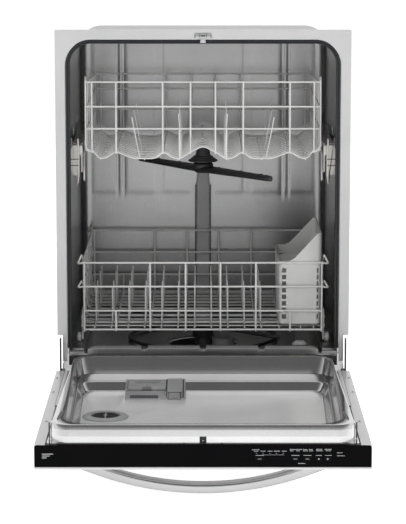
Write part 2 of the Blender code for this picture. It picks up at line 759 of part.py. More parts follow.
def make_handle(looks, axis):
    """A bowed bar under the door's face: a crescent between two arcs."""
    foot = DOOR_FACE - GAP

    def arc(half_chord, apex, count):
        rise = foot - apex
        radius = (half_chord ** 2 + rise ** 2) / (2 * rise)
        spread = math.asin(half_chord / radius)
        points = []
        for k in range(count + 1):
            angle = spread * (2 * k / count - 1)
            points.append((radius * math.sin(angle), apex + radius - radius * math.cos(angle)))
        return points

    lower, upper = (arc(*sizes) for sizes in HANDLE_ARCS)
    bm = bmesh.new()
    add_prism(bm, lower + list(reversed(upper)), "Y", out(HANDLE_OUT[1]), out(HANDLE_OUT[0]))
    return finish(bm, "door_handle", looks["skin"], origin=axis.location, parent=axis)


def profile_out(points):
    """A side view given as (reach, z) points, in world (y, z)."""
    return [(out(reach), z) for reach, z in points]


def make_dispenser(looks, axis):
    """The dispenser housing, which slopes from the tray's ledge down to its floor."""
    slope = ((0.146, 0.128), (0.146, 0.1700), (0.196, 0.1660), (0.214, 0.1605), (0.246, 0.1512),
             (0.246, 0.128))
    block = ((0.146, 0.1560), (0.146, 0.1725), (0.200, 0.1680), (0.2165, 0.1625), (0.2205, 0.1600),
             (0.2205, 0.1560))

    def housing(bm):
        add_prism(bm, profile_out(slope), "X", *DISPENSER_X)

    def rinse_side(bm):
        add_prism(bm, profile_out(block), "X", -0.0713, -0.0407)

    body = welded("dispenser_body", looks["grey"], housing, rinse_side, origin=axis.location, parent=axis)
    cover_x = (COVER_X[0] - GAP, COVER_X[1] + GAP)
    flap_x = (FLAP_X[0] - 2 * GAP, FLAP_X[1] + 2 * GAP)
    above = 0.180
    channel = bmesh.new()
    add_box(channel, (cover_x[0], out(0.260), COVER_Z[0] - GAP),
            (cover_x[1], out(COVER_OUT[0] - GAP), above))
    combine(body, channel, "DIFFERENCE")
    pocket = bmesh.new()
    add_box(pocket, (flap_x[0], out(0.260), 0.1494), (flap_x[1], out(FLAP_OUT[0] - GAP), above))
    combine(body, pocket, "DIFFERENCE")
    cups = bmesh.new()
    add_box(cups, (-0.144, out(0.198), 0.140), (-0.080, out(0.156), above))
    add_box(cups, (-0.0640, out(0.240), 0.140), (-0.0500, out(0.228), 0.155))
    return combine(body, cups, "DIFFERENCE")


def make_detergent_cover(looks, axis):
    """The sliding cover, with a sloping near edge and a finger notch in it."""
    (far, near), (foot, top) = COVER_OUT, COVER_Z
    side_view = ((far, foot), (far, top), (near - 0.014, top), (near, top - 0.005), (near, foot))
    middle = sum(COVER_X) / 2
    bm = bmesh.new()
    add_prism(bm, profile_out(side_view), "X", *COVER_X)
    cover = finish(bm, "detergent_cover", looks["grey"], origin=(middle, out(sum(COVER_OUT) / 2), foot),
                   parent=axis)
    return cut_round(cover, 0.010, (middle, out(near + 0.004), 0), "Z", 0.150, 0.180)


def make_rinse_flap(looks, axis):
    """The small hinged cap over the rinse aid filler, in line with the housing's slope."""
    far, near = FLAP_OUT
    side_view = ((far, 0.1570), (far, FLAP_HINGE_Z), (near, 0.1520), (near, 0.1498))
    bm = bmesh.new()
    add_prism(bm, profile_out(side_view), "X", *FLAP_X)
    return finish(bm, "rinse_aid_flap", looks["grey"], origin=(sum(FLAP_X) / 2, out(far), FLAP_HINGE_Z),
                  parent=axis)


def make_vent(looks, axis):
    """A round cap over the vent in the tray, with a sunken grille face."""
    foot = TRAY_FLOOR + GAP
    profile = ((0, foot), (VENT_R, foot), (VENT_R, foot + 0.002), (VENT_R - 0.006, foot + 0.0045),
               (0.0285, foot + 0.0045), (0.0270, foot + 0.0015), (0, foot + 0.0015))
    turned("vent_cap", looks["dark"], profile, (VENT_X, out(VENT_OUT), 0), segments=24, parent=axis)


def make_latch(looks, axis):
    plain_box("door_latch", looks["dark"], (-0.0058, out(0.6845), 0.1668), (0.0058, out(0.6823), 0.178),
              parent=axis)


def make_hinge_arms(looks, axis):
    """A bell crank on each side: one leg inside the door, a short lever and the pivot pin."""
    for side, hand in sides():
        x0, x1 = mirrored_span((0.2945, 0.2975), hand)
        leg = ((x0, out(0.230), 0.142), (x1, out(PIVOT_OUT - 0.0075), 0.160))
        lever = ((x0, out(PIVOT_OUT + 0.0075), 0.150), (x1, out(PIVOT_OUT - 0.0075), 0.2285))
        pin = ((0, 0.2870), (PIN_R, 0.2870), (PIN_R, 0.2955), (0, 0.2955))
        profile = [(radius, height * hand) for radius, height in pin]

        def rest(bm):
            add_box(bm, *lever)
            add_turned(bm, profile, (0, out(PIVOT_OUT), PIVOT_Z), "X", 12)

        welded(f"hinge_arm_{side}", looks["black_steel"], lambda bm: add_box(bm, *leg), rest,
               origin=axis.location, parent=axis)


# Racks

def bar(centre, start, end, axis):
    """A square wire along an axis, as a box: centre gives the two other axes in order."""
    half = WIRE / 2
    a, b = centre
    if axis == "X":
        return (start, a - half, b - half), (end, a + half, b + half)
    if axis == "Y":
        return (a - half, start, b - half), (a + half, end, b + half)
    return (a - half, b - half, start), (a + half, b + half, end)


def rack_walls(half_x, front, rear, levels, uprights, foot, side_uprights):
    """The wires of a rack's four walls, where the sides have every other level."""
    half = WIRE / 2
    boxes = []
    for level in levels:
        for y in (front, rear):
            boxes.append(bar((y, level), -half_x - half, half_x + half, "X"))
    for level in levels[::2]:
        for hand in (-1, 1):
            boxes.append(bar((hand * half_x, level), front - half, rear + half, "Y"))
    top = levels[-1] + half
    for y in (front, rear):
        for x in uprights:
            for hand in (-1, 1):
                boxes.append(bar((hand * x, y), foot(x), top, "Z"))
    for hand in (-1, 1):
        for y in side_uprights:
            boxes.append(bar((hand * half_x, y), foot(half_x), top, "Z"))
    return boxes


def tine_x(k):
    return TINE_FIRST_X + k * TINE_STEP


def make_lower_rack(looks, axis):
    """The lower wire rack with four rows of plate tines and its wheel brackets."""
    front, rear = back(LOWER_FRONT), back(LOWER_BACK)
    half = WIRE / 2
    along = [front + (rear - front) * k / 4 for k in range(5)]
    boxes = rack_walls(LOWER_X, front, rear, LOWER_LEVELS, LOWER_UPRIGHTS,
                       lambda x: LOWER_FLOOR - half, along)
    for x in (*LOWER_UPRIGHTS, LOWER_X):
        for hand in (-1, 1):
            boxes.append(bar((hand * x, LOWER_FLOOR), front - half, rear + half, "Y"))
    for y in (front, *(back(d) for d in TINE_ROWS), rear):
        boxes.append(bar((y, LOWER_FLOOR), -LOWER_X - half, LOWER_X + half, "X"))
    tine = 0.0015
    for depth in TINE_ROWS:
        for k in range(TINE_COUNT):
            x = tine_x(k)
            y = back(depth)
            boxes.append(((x - tine, y - tine, LOWER_FLOOR), (x + tine, y + tine, TINE_TOP)))
    for depth in WHEELS_BACK:
        for hand in (-1, 1):
            x0, x1 = mirrored_span((LOWER_X - 0.0015, LOWER_X + 0.0025), hand)
            y = back(depth)
            boxes.append(((x0, y - 0.009, 0.2110), (x1, y + 0.009, LOWER_FLOOR)))
            x0, x1 = mirrored_span((LOWER_X, WHEEL_X[1]), hand)
            boxes.append(((x0, y - 0.0021, WHEEL_Z - 0.0021), (x1, y + 0.0021, WHEEL_Z + 0.0021)))
    return from_boxes("lower_rack", looks["coat"], boxes, origin=axis.location, parent=axis)


def make_wheels(looks, name, spans, radius, bore, height, depths, look, parent):
    for place, depth in zip(("front", "rear"), depths):
        for side, hand in sides():
            x0, x1 = mirrored_span(spans, hand)
            ring = ((bore, x0), (radius, x0), (radius, x1), (bore, x1))
            centre = (0, back(depth), height)
            node = f"{name}_{place}_{side}"
            turned(node, looks[look], ring, centre, "X", 14, origin=centre, parent=parent)


def wave(x):
    """The height of the upper rack's floor wires at x: ridges and troughs, with a middle peak."""
    knots = (*WAVE_KNOTS, (UPPER_X, 0.6115))
    x = min(abs(x), UPPER_X)
    for (x0, z0), (x1, z1) in zip(knots, knots[1:]):
        if x <= x1:
            return z0 + (z1 - z0) * (x - x0) / (x1 - x0)
    return knots[-1][1]


def make_upper_rack(looks, axis):
    """The upper wire rack, whose floor wires run up and down across its width."""
    front, rear = back(UPPER_FRONT), back(UPPER_BACK)
    half = WIRE / 2
    cross = [front + (rear - front) * k / 4 for k in range(5)]
    boxes = rack_walls(UPPER_X, front, rear, UPPER_LEVELS, UPPER_UPRIGHTS,
                       lambda x: wave(x) - half, cross)
    for x in (0.051, 0.125):
        for hand in (-1, 1):
            boxes.append(bar((hand * x, 0.5965), front - half, rear + half, "Y"))
    turns = (*(x for x, _ in WAVE_KNOTS if x != UPPER_UPRIGHTS[0]), UPPER_X)
    xs = [-x for x in reversed(turns[1:])] + list(turns)

    def rest(bm):
        for low, high in boxes[1:]:
            add_box(bm, low, high)
        for y in cross:
            add_tube(bm, [(x, y, wave(x)) for x in xs], WIRE / math.sqrt(2), 4, flat=True)

    return welded("upper_rack", looks["coat"], lambda bm: add_box(bm, *boxes[0]), rest,
                  origin=axis.location, parent=axis)


def make_hangers(looks, axis):
    """The plate on each side of the upper rack that carries its two rollers."""
    for side, hand in sides():
        x0, x1 = mirrored_span((0.2475, 0.2494), hand)

        def rest(bm):
            add_box(bm, (x0, back(0.075), 0.5450), (x1, back(0.120), 0.630))
            for depth in ROLLERS_BACK:
                ends = sorted((0.2485 * hand, (RAIL_WEB_X[0] - 0.0007) * hand))
                axle = ((0, ends[0]), (AXLE_R, ends[0]), (AXLE_R, ends[1]), (0, ends[1]))
                add_turned(bm, axle, (0, back(depth), ROLLER_Z), "X", 10)

        welded(f"rack_hanger_{side}", looks["beige"],
               lambda bm: add_box(bm, (x0, back(0.080), 0.5960), (x1, back(0.485), 0.632)), rest,
               origin=axis.location, parent=axis)


def make_rails(looks):
    """The two sliding rails, each an H with the rollers inside and the tub's wheels outside."""
    for side, hand in sides():
        x0, x1 = mirrored_span(RAIL_X, hand)
        w0, w1 = mirrored_span(RAIL_WEB_X, hand)
        y0, y1 = (back(depth) for depth in RAIL_BACK)
        boxes = (
            ((w0, y0, RAIL_Z[0]), (w1, y1, RAIL_Z[1])),
            ((x0, y0, RAIL_Z[0]), (x1, y1, RAIL_Z[0] + SHEET)),
            ((x0, y0, RAIL_Z[1] - SHEET), (x1, y1, RAIL_Z[1])),
        )
        from_boxes(f"upper_rail_{side}", looks["beige"], boxes)


def make_basket(looks, axis):
    """The silverware basket: an open box whose rim rises towards the rack's side."""
    x0, x1 = 0.158, 0.2485
    foot = 0.2445
    wall = 0.0022
    y0, y1 = back(0.0560), back(0.295)
    outline = [(x0, foot), (x1, foot), (x1, 0.439), (0.181, 0.380), (x0, 0.380)]
    bm = bmesh.new()
    add_prism(bm, outline, "Y", y0, y1)
    basket = finish(bm, "silverware_basket", looks["basket"], origin=axis.location, parent=axis)
    room = bmesh.new()
    add_box(room, (x0 + wall, y0 + wall, foot + wall), (x1 - wall, y1 - wall, 0.50))
    return combine(basket, room, "DIFFERENCE")


# Spray arms

def arm_outline(reach, root, tip, turn):
    """A two-bladed arm in plan: wide at the hub, narrow and round at both tips."""
    points = []
    for start in (0, 180):
        for k in range(5):
            angle = math.radians(-90 + 180 * k / 4)
            points.append((start, reach - tip + tip * math.cos(angle), tip * math.sin(angle)))
        points.append((start, 0.03, root))
    turned_points = []
    for start, along, across in points:
        angle = math.radians(start + turn)
        turned_points.append((along * math.cos(angle) - across * math.sin(angle),
                              along * math.sin(angle) + across * math.cos(angle)))
    return turned_points


def make_arm(name, look, heights, reach, turn, hub, hub_cut):
    """A spray arm, its blades joined to a turned hub, around the common vertical axis."""
    y = back(SUMP_BACK)

    def blades(bm):
        outline = [(a, y + b) for a, b in arm_outline(reach, 0.020, 0.011, turn)]
        add_prism(bm, outline, "Z", *heights)

    def turned_hub(bm):
        add_turned(bm, hub, (0, y, 0), "Z", 16)

    arm = welded(name, look, blades, turned_hub, origin=(0, y, heights[0]))
    if hub_cut:
        cut_round(arm, hub_cut[0], (0, y, 0), "Z", hub_cut[1], hub_cut[2], 16)
    return arm


def make_spray_arms(looks):
    lower_hub = ((0, 0.1795), (0.023, 0.1795), (0.023, 0.2090), (0.018, 0.2150), (0, 0.2150))
    make_arm("lower_spray_arm", looks["dark"], LOWER_ARM_Z, LOWER_ARM_REACH, LOWER_ARM_TURN,
             lower_hub, (TOWER_R + 0.0012, 0.17, TOWER_TOP + 0.0012))
    upper_hub = ((0, 0.5420), (0.016, 0.5420), (0.022, 0.5480), (0.022, 0.5600), (0.016, 0.5655),
                 (0, 0.5655))
    make_arm("upper_spray_arm", looks["dark"], UPPER_ARM_Z, UPPER_ARM_REACH, UPPER_ARM_TURN,
             upper_hub, None)


def make_manifold(looks, axis):
    """The duct under the upper rack, from its dock at the back to the cone over the arm."""
    def duct(bm):
        profile = ((0, 0.262), (0.011, 0.262), (0.011, 0.528), (0, 0.528))
        add_turned(bm, profile, (0, back(0), MANIFOLD_Z), "Y", 12)

    def cone(bm):
        profile = ((0, 0.5660), (0.032, 0.5660), (0.032, 0.5700), (0.014, 0.5930), (0, 0.5930))
        add_turned(bm, profile, (0, back(SUMP_BACK), 0), "Z", 16)

    return welded("upper_feed_manifold", looks["dark"], duct, cone, origin=axis.location, parent=axis)


# Assembly

def build_cabinet(looks):
    make_tub_shell(looks)
    make_tub_bottom(looks)
    make_front_flange(looks)
    make_gasket(looks)
    make_strike(looks)
    make_base(looks)
    make_toe_kick(looks)
    make_feet(looks)
    make_sump(looks)
    make_filter(looks)
    make_circulation_pump(looks)
    make_drain_pump(looks)
    make_inlet_valve(looks)
    make_heating_element(looks)
    make_feed_tube(looks)
    make_junction_box(looks)
    make_door_springs(looks)
    make_float(looks)
    make_wheels(looks, "rail_wheel", (0.2632, 0.2704), ROLLER_R, ROLLER_BORE_R, ROLLER_Z,
                RAIL_WHEELS_BACK, "beige", None)


def build_door(looks):
    axis = empty("door_pivot", (0, out(PIVOT_OUT), PIVOT_Z))
    make_outer_panel(looks, axis)
    make_liner(looks, axis)
    make_console(looks, axis)
    make_handle(looks, axis)
    make_dispenser(looks, axis)
    make_detergent_cover(looks, axis)
    make_rinse_flap(looks, axis)
    make_vent(looks, axis)
    make_latch(looks, axis)
    make_hinge_arms(looks, axis)
    make_buttons(looks)


def build_racks(looks):
    lower = empty("lower_rack_slide", (0, back(LOWER_FRONT), LOWER_FLOOR))
    make_lower_rack(looks, lower)
    make_wheels(looks, "lower_wheel", WHEEL_X, WHEEL_R, ROLLER_BORE_R, WHEEL_Z, WHEELS_BACK, "basket", lower)
    make_basket(looks, lower)
    upper = empty("upper_rack_slide", (0, back(UPPER_FRONT), UPPER_LEVELS[0]))
    make_upper_rack(looks, upper)
    make_hangers(looks, upper)
    make_wheels(looks, "rack_roller", (0.2515, 0.2590), ROLLER_R, ROLLER_BORE_R, ROLLER_Z,
                ROLLERS_BACK, "beige", upper)
    make_manifold(looks, upper)
    make_rails(looks)


def main():
    for item in list(bpy.data.objects):
        bpy.data.objects.remove(item)
    looks = palette()
    build_cabinet(looks)
    build_door(looks)
    build_racks(looks)
    make_spray_arms(looks)


main()
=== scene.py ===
import math

import bmesh
import bpy
import numpy as np
from mathutils import Matrix, Vector


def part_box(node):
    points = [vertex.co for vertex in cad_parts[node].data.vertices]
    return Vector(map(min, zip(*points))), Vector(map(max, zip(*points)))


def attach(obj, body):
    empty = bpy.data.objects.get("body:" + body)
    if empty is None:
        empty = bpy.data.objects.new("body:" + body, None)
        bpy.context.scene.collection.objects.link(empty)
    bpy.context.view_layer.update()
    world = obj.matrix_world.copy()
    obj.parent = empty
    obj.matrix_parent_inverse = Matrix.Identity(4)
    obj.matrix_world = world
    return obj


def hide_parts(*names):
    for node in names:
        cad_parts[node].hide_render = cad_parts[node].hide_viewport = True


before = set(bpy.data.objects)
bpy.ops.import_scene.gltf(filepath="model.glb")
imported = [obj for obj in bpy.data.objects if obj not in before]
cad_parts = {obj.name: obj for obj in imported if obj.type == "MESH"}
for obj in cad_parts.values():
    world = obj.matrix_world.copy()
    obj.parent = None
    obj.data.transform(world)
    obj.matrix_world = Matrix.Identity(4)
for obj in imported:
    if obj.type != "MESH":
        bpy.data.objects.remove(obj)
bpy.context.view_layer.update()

# Places, in metres, all worked out from the frame
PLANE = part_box("front_flange")[0].y            # the front flange's plane
HALF_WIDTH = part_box("front_flange")[1].x
FLANGE_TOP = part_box("front_flange")[1].z
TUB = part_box("tub_shell")
ARM_AXIS_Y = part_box("sump")[0].y + (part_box("sump")[1].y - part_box("sump")[0].y) / 2
SIDES = ("left", "right")
HANDS = tuple(zip(SIDES, (-1, 1)))             # a side's name and its sign along X
PLACES = ("front", "rear")
SHEET = 0.0012                                 # thickness of pressed steel


def back(depth):
    """A y inside the cabinet."""
    return PLANE + depth


def out(reach):
    """A y in front of the cabinet, over the open door."""
    return PLANE - reach


def reach_of(y):
    """How far a y lies in front of the flange's plane, the inverse of out()."""
    return PLANE - y


# Materials

def put(node, socket, value):
    node.inputs[socket].default_value = value


def new_look(name, colour, roughness, metallic=0.0):
    made = bpy.data.materials.new(name)
    made.use_nodes = True
    shader = made.node_tree.nodes["Principled BSDF"]
    put(shader, "Base Color", (*colour, 1.0))
    put(shader, "Roughness", roughness)
    put(shader, "Metallic", metallic)
    return made


def shader_of(made):
    return made.node_tree.nodes["Principled BSDF"]


def pattern(made, scale, stretch=(1, 1, 1), detail=3.0, cells=False):
    """A noise or cell pattern in the object's own metres; stretch squeezes it along an axis."""
    tree = made.node_tree
    place = tree.nodes.new("ShaderNodeTexCoord")
    sized = tree.nodes.new("ShaderNodeMapping")
    put(sized, "Scale", tuple(scale * s for s in stretch))
    tree.links.new(place.outputs["Object"], sized.inputs["Vector"])
    kind = "ShaderNodeTexVoronoi" if cells else "ShaderNodeTexNoise"
    texture = tree.nodes.new(kind)
    put(texture, "Scale", 1.0)
    if not cells:
        put(texture, "Detail", detail)
    tree.links.new(sized.outputs["Vector"], texture.inputs["Vector"])
    return texture.outputs["Color" if cells else "Fac"]


def span(made, source, low, high, socket, start=0.3, end=0.7):
    """Spreads a pattern between two values on one of the shader's sockets."""
    tree = made.node_tree
    ramp = tree.nodes.new("ShaderNodeMapRange")
    put(ramp, "From Min", start)
    put(ramp, "From Max", end)
    put(ramp, "To Min", low)
    put(ramp, "To Max", high)
    tree.links.new(source, ramp.inputs["Value"])
    tree.links.new(ramp.outputs["Result"], shader_of(made).inputs[socket])


def tones(made, source, dark, light, start=0.3, end=0.7):
    """Colours a pattern between two tones."""
    tree = made.node_tree
    ramp = tree.nodes.new("ShaderNodeValToRGB")
    ramp.color_ramp.elements[0].position = start
    ramp.color_ramp.elements[0].color = (*dark, 1)
    ramp.color_ramp.elements[1].position = end
    ramp.color_ramp.elements[1].color = (*light, 1)
    tree.links.new(source, ramp.inputs["Fac"])
    tree.links.new(ramp.outputs["Color"], shader_of(made).inputs["Base Color"])


def bumps(made, source, strength, distance):
    tree = made.node_tree
    bump = tree.nodes.new("ShaderNodeBump")
    put(bump, "Strength", strength)
    put(bump, "Distance", distance)
    tree.links.new(source, bump.inputs["Height"])
    tree.links.new(bump.outputs["Normal"], shader_of(made).inputs["Normal"])


def grey(value, warm=0.0):
    return (value * (1 + warm), value, value * (1 - warm))


def metal(name, tone, roughness, grain, spread=0.04, depth=0.06, metallic=1.0):
    """Rolled or brushed steel: fine grain along one axis, soft patches of tone, uneven polish."""
    made = new_look(name, grey(tone), roughness, metallic)
    tones(made, pattern(made, 6.0), grey(tone * 0.93), grey(tone * 1.05))
    fine = pattern(made, 2400.0, grain, 2.0)
    span(made, fine, roughness - spread, roughness + spread, "Roughness")
    bumps(made, fine, depth, 0.00005)
    return made


def plastic(name, colour, roughness, texture=1200.0, depth=0.25, coat=0.0):
    """Moulded plastic: a fine spark-eroded grain and faint uneven tone."""
    made = new_look(name, colour, roughness)
    low = tuple(c * 0.9 for c in colour)
    high = tuple(min(1.0, c * 1.06) for c in colour)
    tones(made, pattern(made, 14.0), low, high)
    grain = pattern(made, texture, detail=2.0)
    span(made, grain, roughness - 0.06, roughness + 0.06, "Roughness")
    bumps(made, grain, depth, 0.0001)
    put(shader_of(made), "Coat Weight", coat)
    put(shader_of(made), "Coat Roughness", 0.12)
    return made


def galvanised(name, tone):
    made = new_look(name, grey(tone), 0.45, 1.0)
    spangle = pattern(made, 110.0, cells=True)
    tones(made, spangle, grey(tone * 0.8), grey(tone * 1.12), 0.0, 1.0)
    span(made, spangle, 0.36, 0.52, "Roughness", 0.0, 1.0)
    return made


def painted(name, tone, roughness):
    made = new_look(name, grey(tone, 0.004), roughness, 0.0)
    tones(made, pattern(made, 9.0), grey(tone * 0.96), grey(tone * 1.03))
    orange_peel = pattern(made, 420.0)
    span(made, orange_peel, roughness - 0.05, roughness + 0.05, "Roughness")
    bumps(made, orange_peel, 0.12, 0.0002)
    put(shader_of(made), "Coat Weight", 0.25)
    put(shader_of(made), "Coat Roughness", 0.3)
    return made


def clear_plastic(name):
    made = plastic(name, (0.8, 0.81, 0.8), 0.22, depth=0.08)
    put(shader_of(made), "Transmission Weight", 0.55)
    put(shader_of(made), "IOR", 1.49)
    return made


ALONG_X = (0.02, 1, 1)
ALONG_Y = (1, 0.02, 1)
ALONG_Z = (1, 1, 0.02)
LOOKS = {
    "flange": painted("satin_flange_paint", 0.6, 0.42),
    "duct": plastic("feed_duct_grey", (0.46, 0.46, 0.465), 0.4),
    "steel": metal("drawn_stainless", 0.66, 0.14, ALONG_X, 0.03, 0.02, 0.95),
    # painted sheen: the tray floor's copy of the liner's stainless, brighter and half as metallic, so that
    # the floor shows light from above
    "tray": metal("tray_floor_painted_sheen", 0.95, 0.2, ALONG_Y, 0.04, 0.03, 0.5),
    "blanket": painted("deadening_coat", 0.5, 0.85),
    "tub": metal("tub_stainless", 0.41, 0.3, ALONG_Z, 0.03, 0.015),
    "bar": metal("handle_stainless", 0.47, 0.17, ALONG_X, 0.03, 0.03),
    "skin": metal("brushed_stainless", 0.6, 0.33, ALONG_X),
    "rail": metal("rail_stainless", 0.55, 0.3, ALONG_Y),
    "zinc": galvanised("galvanised_steel", 0.62),
    "black_steel": painted("black_enamelled_steel", 0.022, 0.45),
    # The seal's near-black finish, also laid as painted shade in the dispenser's gaps and the latch's throat.
    "rubber": plastic("seal_rubber", (0.032, 0.033, 0.036), 0.62, 700.0, 0.5),
    "gloss": plastic("console_gloss", (0.0028, 0.0028, 0.0033), 0.2, 500.0, 0.02),
    "button": plastic("button_gloss", (0.006, 0.006, 0.0068), 0.28, 500.0, 0.03),
    "print": plastic("pale_print", (0.62, 0.63, 0.64), 0.55),
    "grey": plastic("dispenser_grey", (0.33, 0.33, 0.335), 0.4),
    "shade": plastic("dispenser_shadow_grey", (0.085, 0.085, 0.09), 0.5),
    "dark": plastic("arm_charcoal", (0.035, 0.035, 0.038), 0.42),
    "beige": plastic("rail_end_plastic", (0.74, 0.72, 0.68), 0.42),
    "coat": plastic("nylon_wire_coat", (0.8, 0.8, 0.79), 0.3, 900.0, 0.12, 0.35),
    "basket": plastic("basket_plastic", (0.7, 0.7, 0.68), 0.45),
    "clear": clear_plastic("float_plastic"),
    "chrome": metal("polished_chrome", 0.75, 0.12, ALONG_X, 0.03),
    "element": metal("element_sheath", 0.17, 0.42, (1, 1, 1)),
    "copper": metal("motor_winding", 0.3, 0.4, ALONG_X),
}
put(shader_of(LOOKS["copper"]), "Base Color", (0.45, 0.22, 0.1, 1))
for dim in ("gloss", "button"):
    put(shader_of(LOOKS[dim]), "Specular IOR Level", 0.03)


# Mesh helpers

def piece(name, bm, body, look, nodes=(), crease=35, bevel=0.0, rounds=2, sheet=0.0):
    """Makes a shown piece from a bmesh, with rounded edges or a sheet's thickness if given."""
    bmesh.ops.recalc_face_normals(bm, faces=bm.faces)
    mesh = bpy.data.meshes.new(name)
    bm.to_mesh(mesh)
    bm.free()
    mesh.materials.append(LOOKS[look])
    mesh.shade_smooth()
    mesh.set_sharp_from_angle(angle=math.radians(crease))
    made = bpy.data.objects.new(name, mesh)
    bpy.context.scene.collection.objects.link(made)
    if sheet:
        thick = made.modifiers.new("sheet", "SOLIDIFY")
        thick.thickness = abs(sheet)
        thick.offset = math.copysign(1, sheet)
    if bevel:
        soften(made, bevel, rounds)
    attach(made, body)
    if nodes:
        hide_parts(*nodes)
    return made


def soften(made, width, rounds=2):
    """Rounds an object's sharp edges."""
    step = made.modifiers.new("soft_edges", "BEVEL")
    step.width = width
    step.segments = rounds
    step.limit_method = "ANGLE"
    step.angle_limit = math.radians(38)
    step.use_clamp_overlap = True
    step.harden_normals = True


def carve(made, cutter_bm, solver="EXACT"):
    """Cuts a tool's shape out of a piece and keeps the result as its mesh."""
    bmesh.ops.recalc_face_normals(cutter_bm, faces=cutter_bm.faces)
    mesh = bpy.data.meshes.new("cutter")
    cutter_bm.to_mesh(mesh)
    cutter_bm.free()
    tool = bpy.data.objects.new("cutter", mesh)
    bpy.context.scene.collection.objects.link(tool)
    step = made.modifiers.new("carve", "BOOLEAN")
    step.operation = "DIFFERENCE"
    step.solver = solver
    step.object = tool
    made.modifiers.move(len(made.modifiers) - 1, 0)
    kept = [m for m in made.modifiers if m.type != "BOOLEAN"]
    for other in kept:
        other.show_viewport = False
    bpy.context.view_layer.update()
    shaped = bpy.data.meshes.new_from_object(made.evaluated_get(bpy.context.evaluated_depsgraph_get()))
    made.modifiers.remove(step)
    made.data = shaped
    made.data.shade_smooth()
    made.data.set_sharp_from_angle(angle=math.radians(35))
    for other in kept:
        other.show_viewport = True
    bpy.data.objects.remove(tool)
    return made


def add_box(bm, low, high, radius=0.0, rounds=2):
    """Adds a box, with rounded edges if a radius is given."""
    made = bmesh.ops.create_cube(bm, size=1.0)["verts"]
    size = Vector(high) - Vector(low)
    middle = (Vector(high) + Vector(low)) / 2
    bmesh.ops.transform(bm, matrix=Matrix.Translation(middle) @ Matrix.Diagonal((*size, 1)), verts=made)
    if radius:
        edges = list({e for v in made for e in v.link_edges})
        bmesh.ops.bevel(bm, geom=edges, offset=radius, segments=rounds, profile=0.5, affect="EDGES")


def loft(bm, rows, ring=True, wrap=False, caps=False):
    """Joins rows of points with faces; wrap joins the last row to the first."""
    made = [[bm.verts.new(tuple(float(c) for c in p)) for p in row] for row in rows]
    pairs = list(zip(made, made[1:])) + ([(made[-1], made[0])] if wrap else [])
    for low, high in pairs:
        count = len(low)
        for k in range(count if ring else count - 1):
            j = (k + 1) % count
            bm.faces.new((low[k], low[j], high[j], high[k]))
    if caps:
        bm.faces.new(made[0])
        bm.faces.new(list(reversed(made[-1])))
    return made


def add_solid(bm, rows):
    """A closed solid through rings of points."""
    loft(bm, rows, caps=True)


def add_turned(bm, profile, centre, axis="Z", segments=40):
    """Turns a (radius, height) profile about an axis; one that leaves the axis makes a ring."""
    solid = profile[0][0] == 0 and profile[-1][0] == 0
    rows = []
    for radius, height in profile:
        row = []
        for k in range(1 if radius == 0 else segments):
            angle = 2 * math.pi * k / segments
            a, b = radius * math.cos(angle), radius * math.sin(angle)
            offset = {"X": (height, a, b), "Y": (b, height, a), "Z": (a, b, height)}[axis]
            row.append(bm.verts.new(Vector(centre) + Vector(offset)))
        rows.append(row)
    pairs = list(zip(rows, rows[1:])) if solid else list(zip(rows, rows[1:] + rows[:1]))
    for low, high in pairs:
        for k in range(segments):
            j = (k + 1) % segments
            ring = [low[k % len(low)], low[j % len(low)], high[j % len(high)], high[k % len(high)]]
            face = list(dict.fromkeys(ring))
            if len(face) > 2:
                bm.faces.new(face)


def add_moved(bm, matrix, add, *details):
    """Adds a shape with one of the functions above and moves it."""
    before = set(bm.verts)
    add(bm, *details)
    bmesh.ops.transform(bm, matrix=matrix, verts=[v for v in bm.verts if v not in before])


def eased(keys, radius, closed=False, steps=5):
    """Rounds the corners of a path of keys of any dimension; radius is measured in the first three."""
    keys = [np.array(k, float) for k in keys]
    made = []
    for i, key in enumerate(keys):
        if not closed and i in (0, len(keys) - 1):
            made.append(key)
            continue
        before, after = keys[i - 1], keys[(i + 1) % len(keys)]
        ends = []
        for other in (before, after):
            length = max(np.linalg.norm(other - key), 1e-9)
            ends.append(key + (other - key) * min(radius / length, 0.48))
        for k in range(steps + 1):
            t = k / steps
            made.append((1 - t) ** 2 * ends[0] + 2 * t * (1 - t) * key + t ** 2 * ends[1])
    return made


def smoothstep(low, high, value):
    t = min(max((value - low) / (high - low), 0.0), 1.0)
    return t * t * (3 - 2 * t)


def rounded_ring(half_x, y_low, y_high, radius, per_corner=12):
    """A rounded rectangle in plan, symmetric about the middle."""
    points = []
    corners = (
        (half_x - radius, y_high - radius, 0),
        (radius - half_x, y_high - radius, 90),
        (radius - half_x, y_low + radius, 180),
        (half_x - radius, y_low + radius, 270),
    )
    for x, y, start in corners:
        for k in range(per_corner):
            angle = math.radians(start + 90 * k / (per_corner - 1))
            points.append((x + radius * math.cos(angle), y + radius * math.sin(angle)))
    return points


def arch(half_x, foot, top, radius, steps=20):
    """An upside-down U of (x, z) points."""
    points = [(-half_x, foot)]
    for start, x in ((180, radius - half_x), (90, half_x - radius)):
        for k in range(steps):
            angle = math.radians(start - 90 * k / (steps - 1))
            points.append((x + radius * math.cos(angle), top - radius + radius * math.sin(angle)))
    return points + [(half_x, foot)]


def wires(name, paths, radius, body, look, nodes=(), resolution=2):
    """Round wires along paths of points, as one piece. A path is (points, closed)."""
    data = bpy.data.curves.new(name, "CURVE")
    data.dimensions = "3D"
    data.bevel_depth = radius
    data.bevel_resolution = resolution
    data.use_fill_caps = True
    for points, closed in paths:
        line = data.splines.new("POLY")
        line.points.add(len(points) - 1)
        for spot, p in zip(line.points, points):
            spot.co = (float(p[0]), float(p[1]), float(p[2]), 1.0)
        line.use_cyclic_u = closed
        line.use_smooth = True
    data.materials.append(LOOKS[look])
    made = bpy.data.objects.new(name, data)
    bpy.context.scene.collection.objects.link(made)
    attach(made, body)
    if nodes:
        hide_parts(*nodes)
    return made


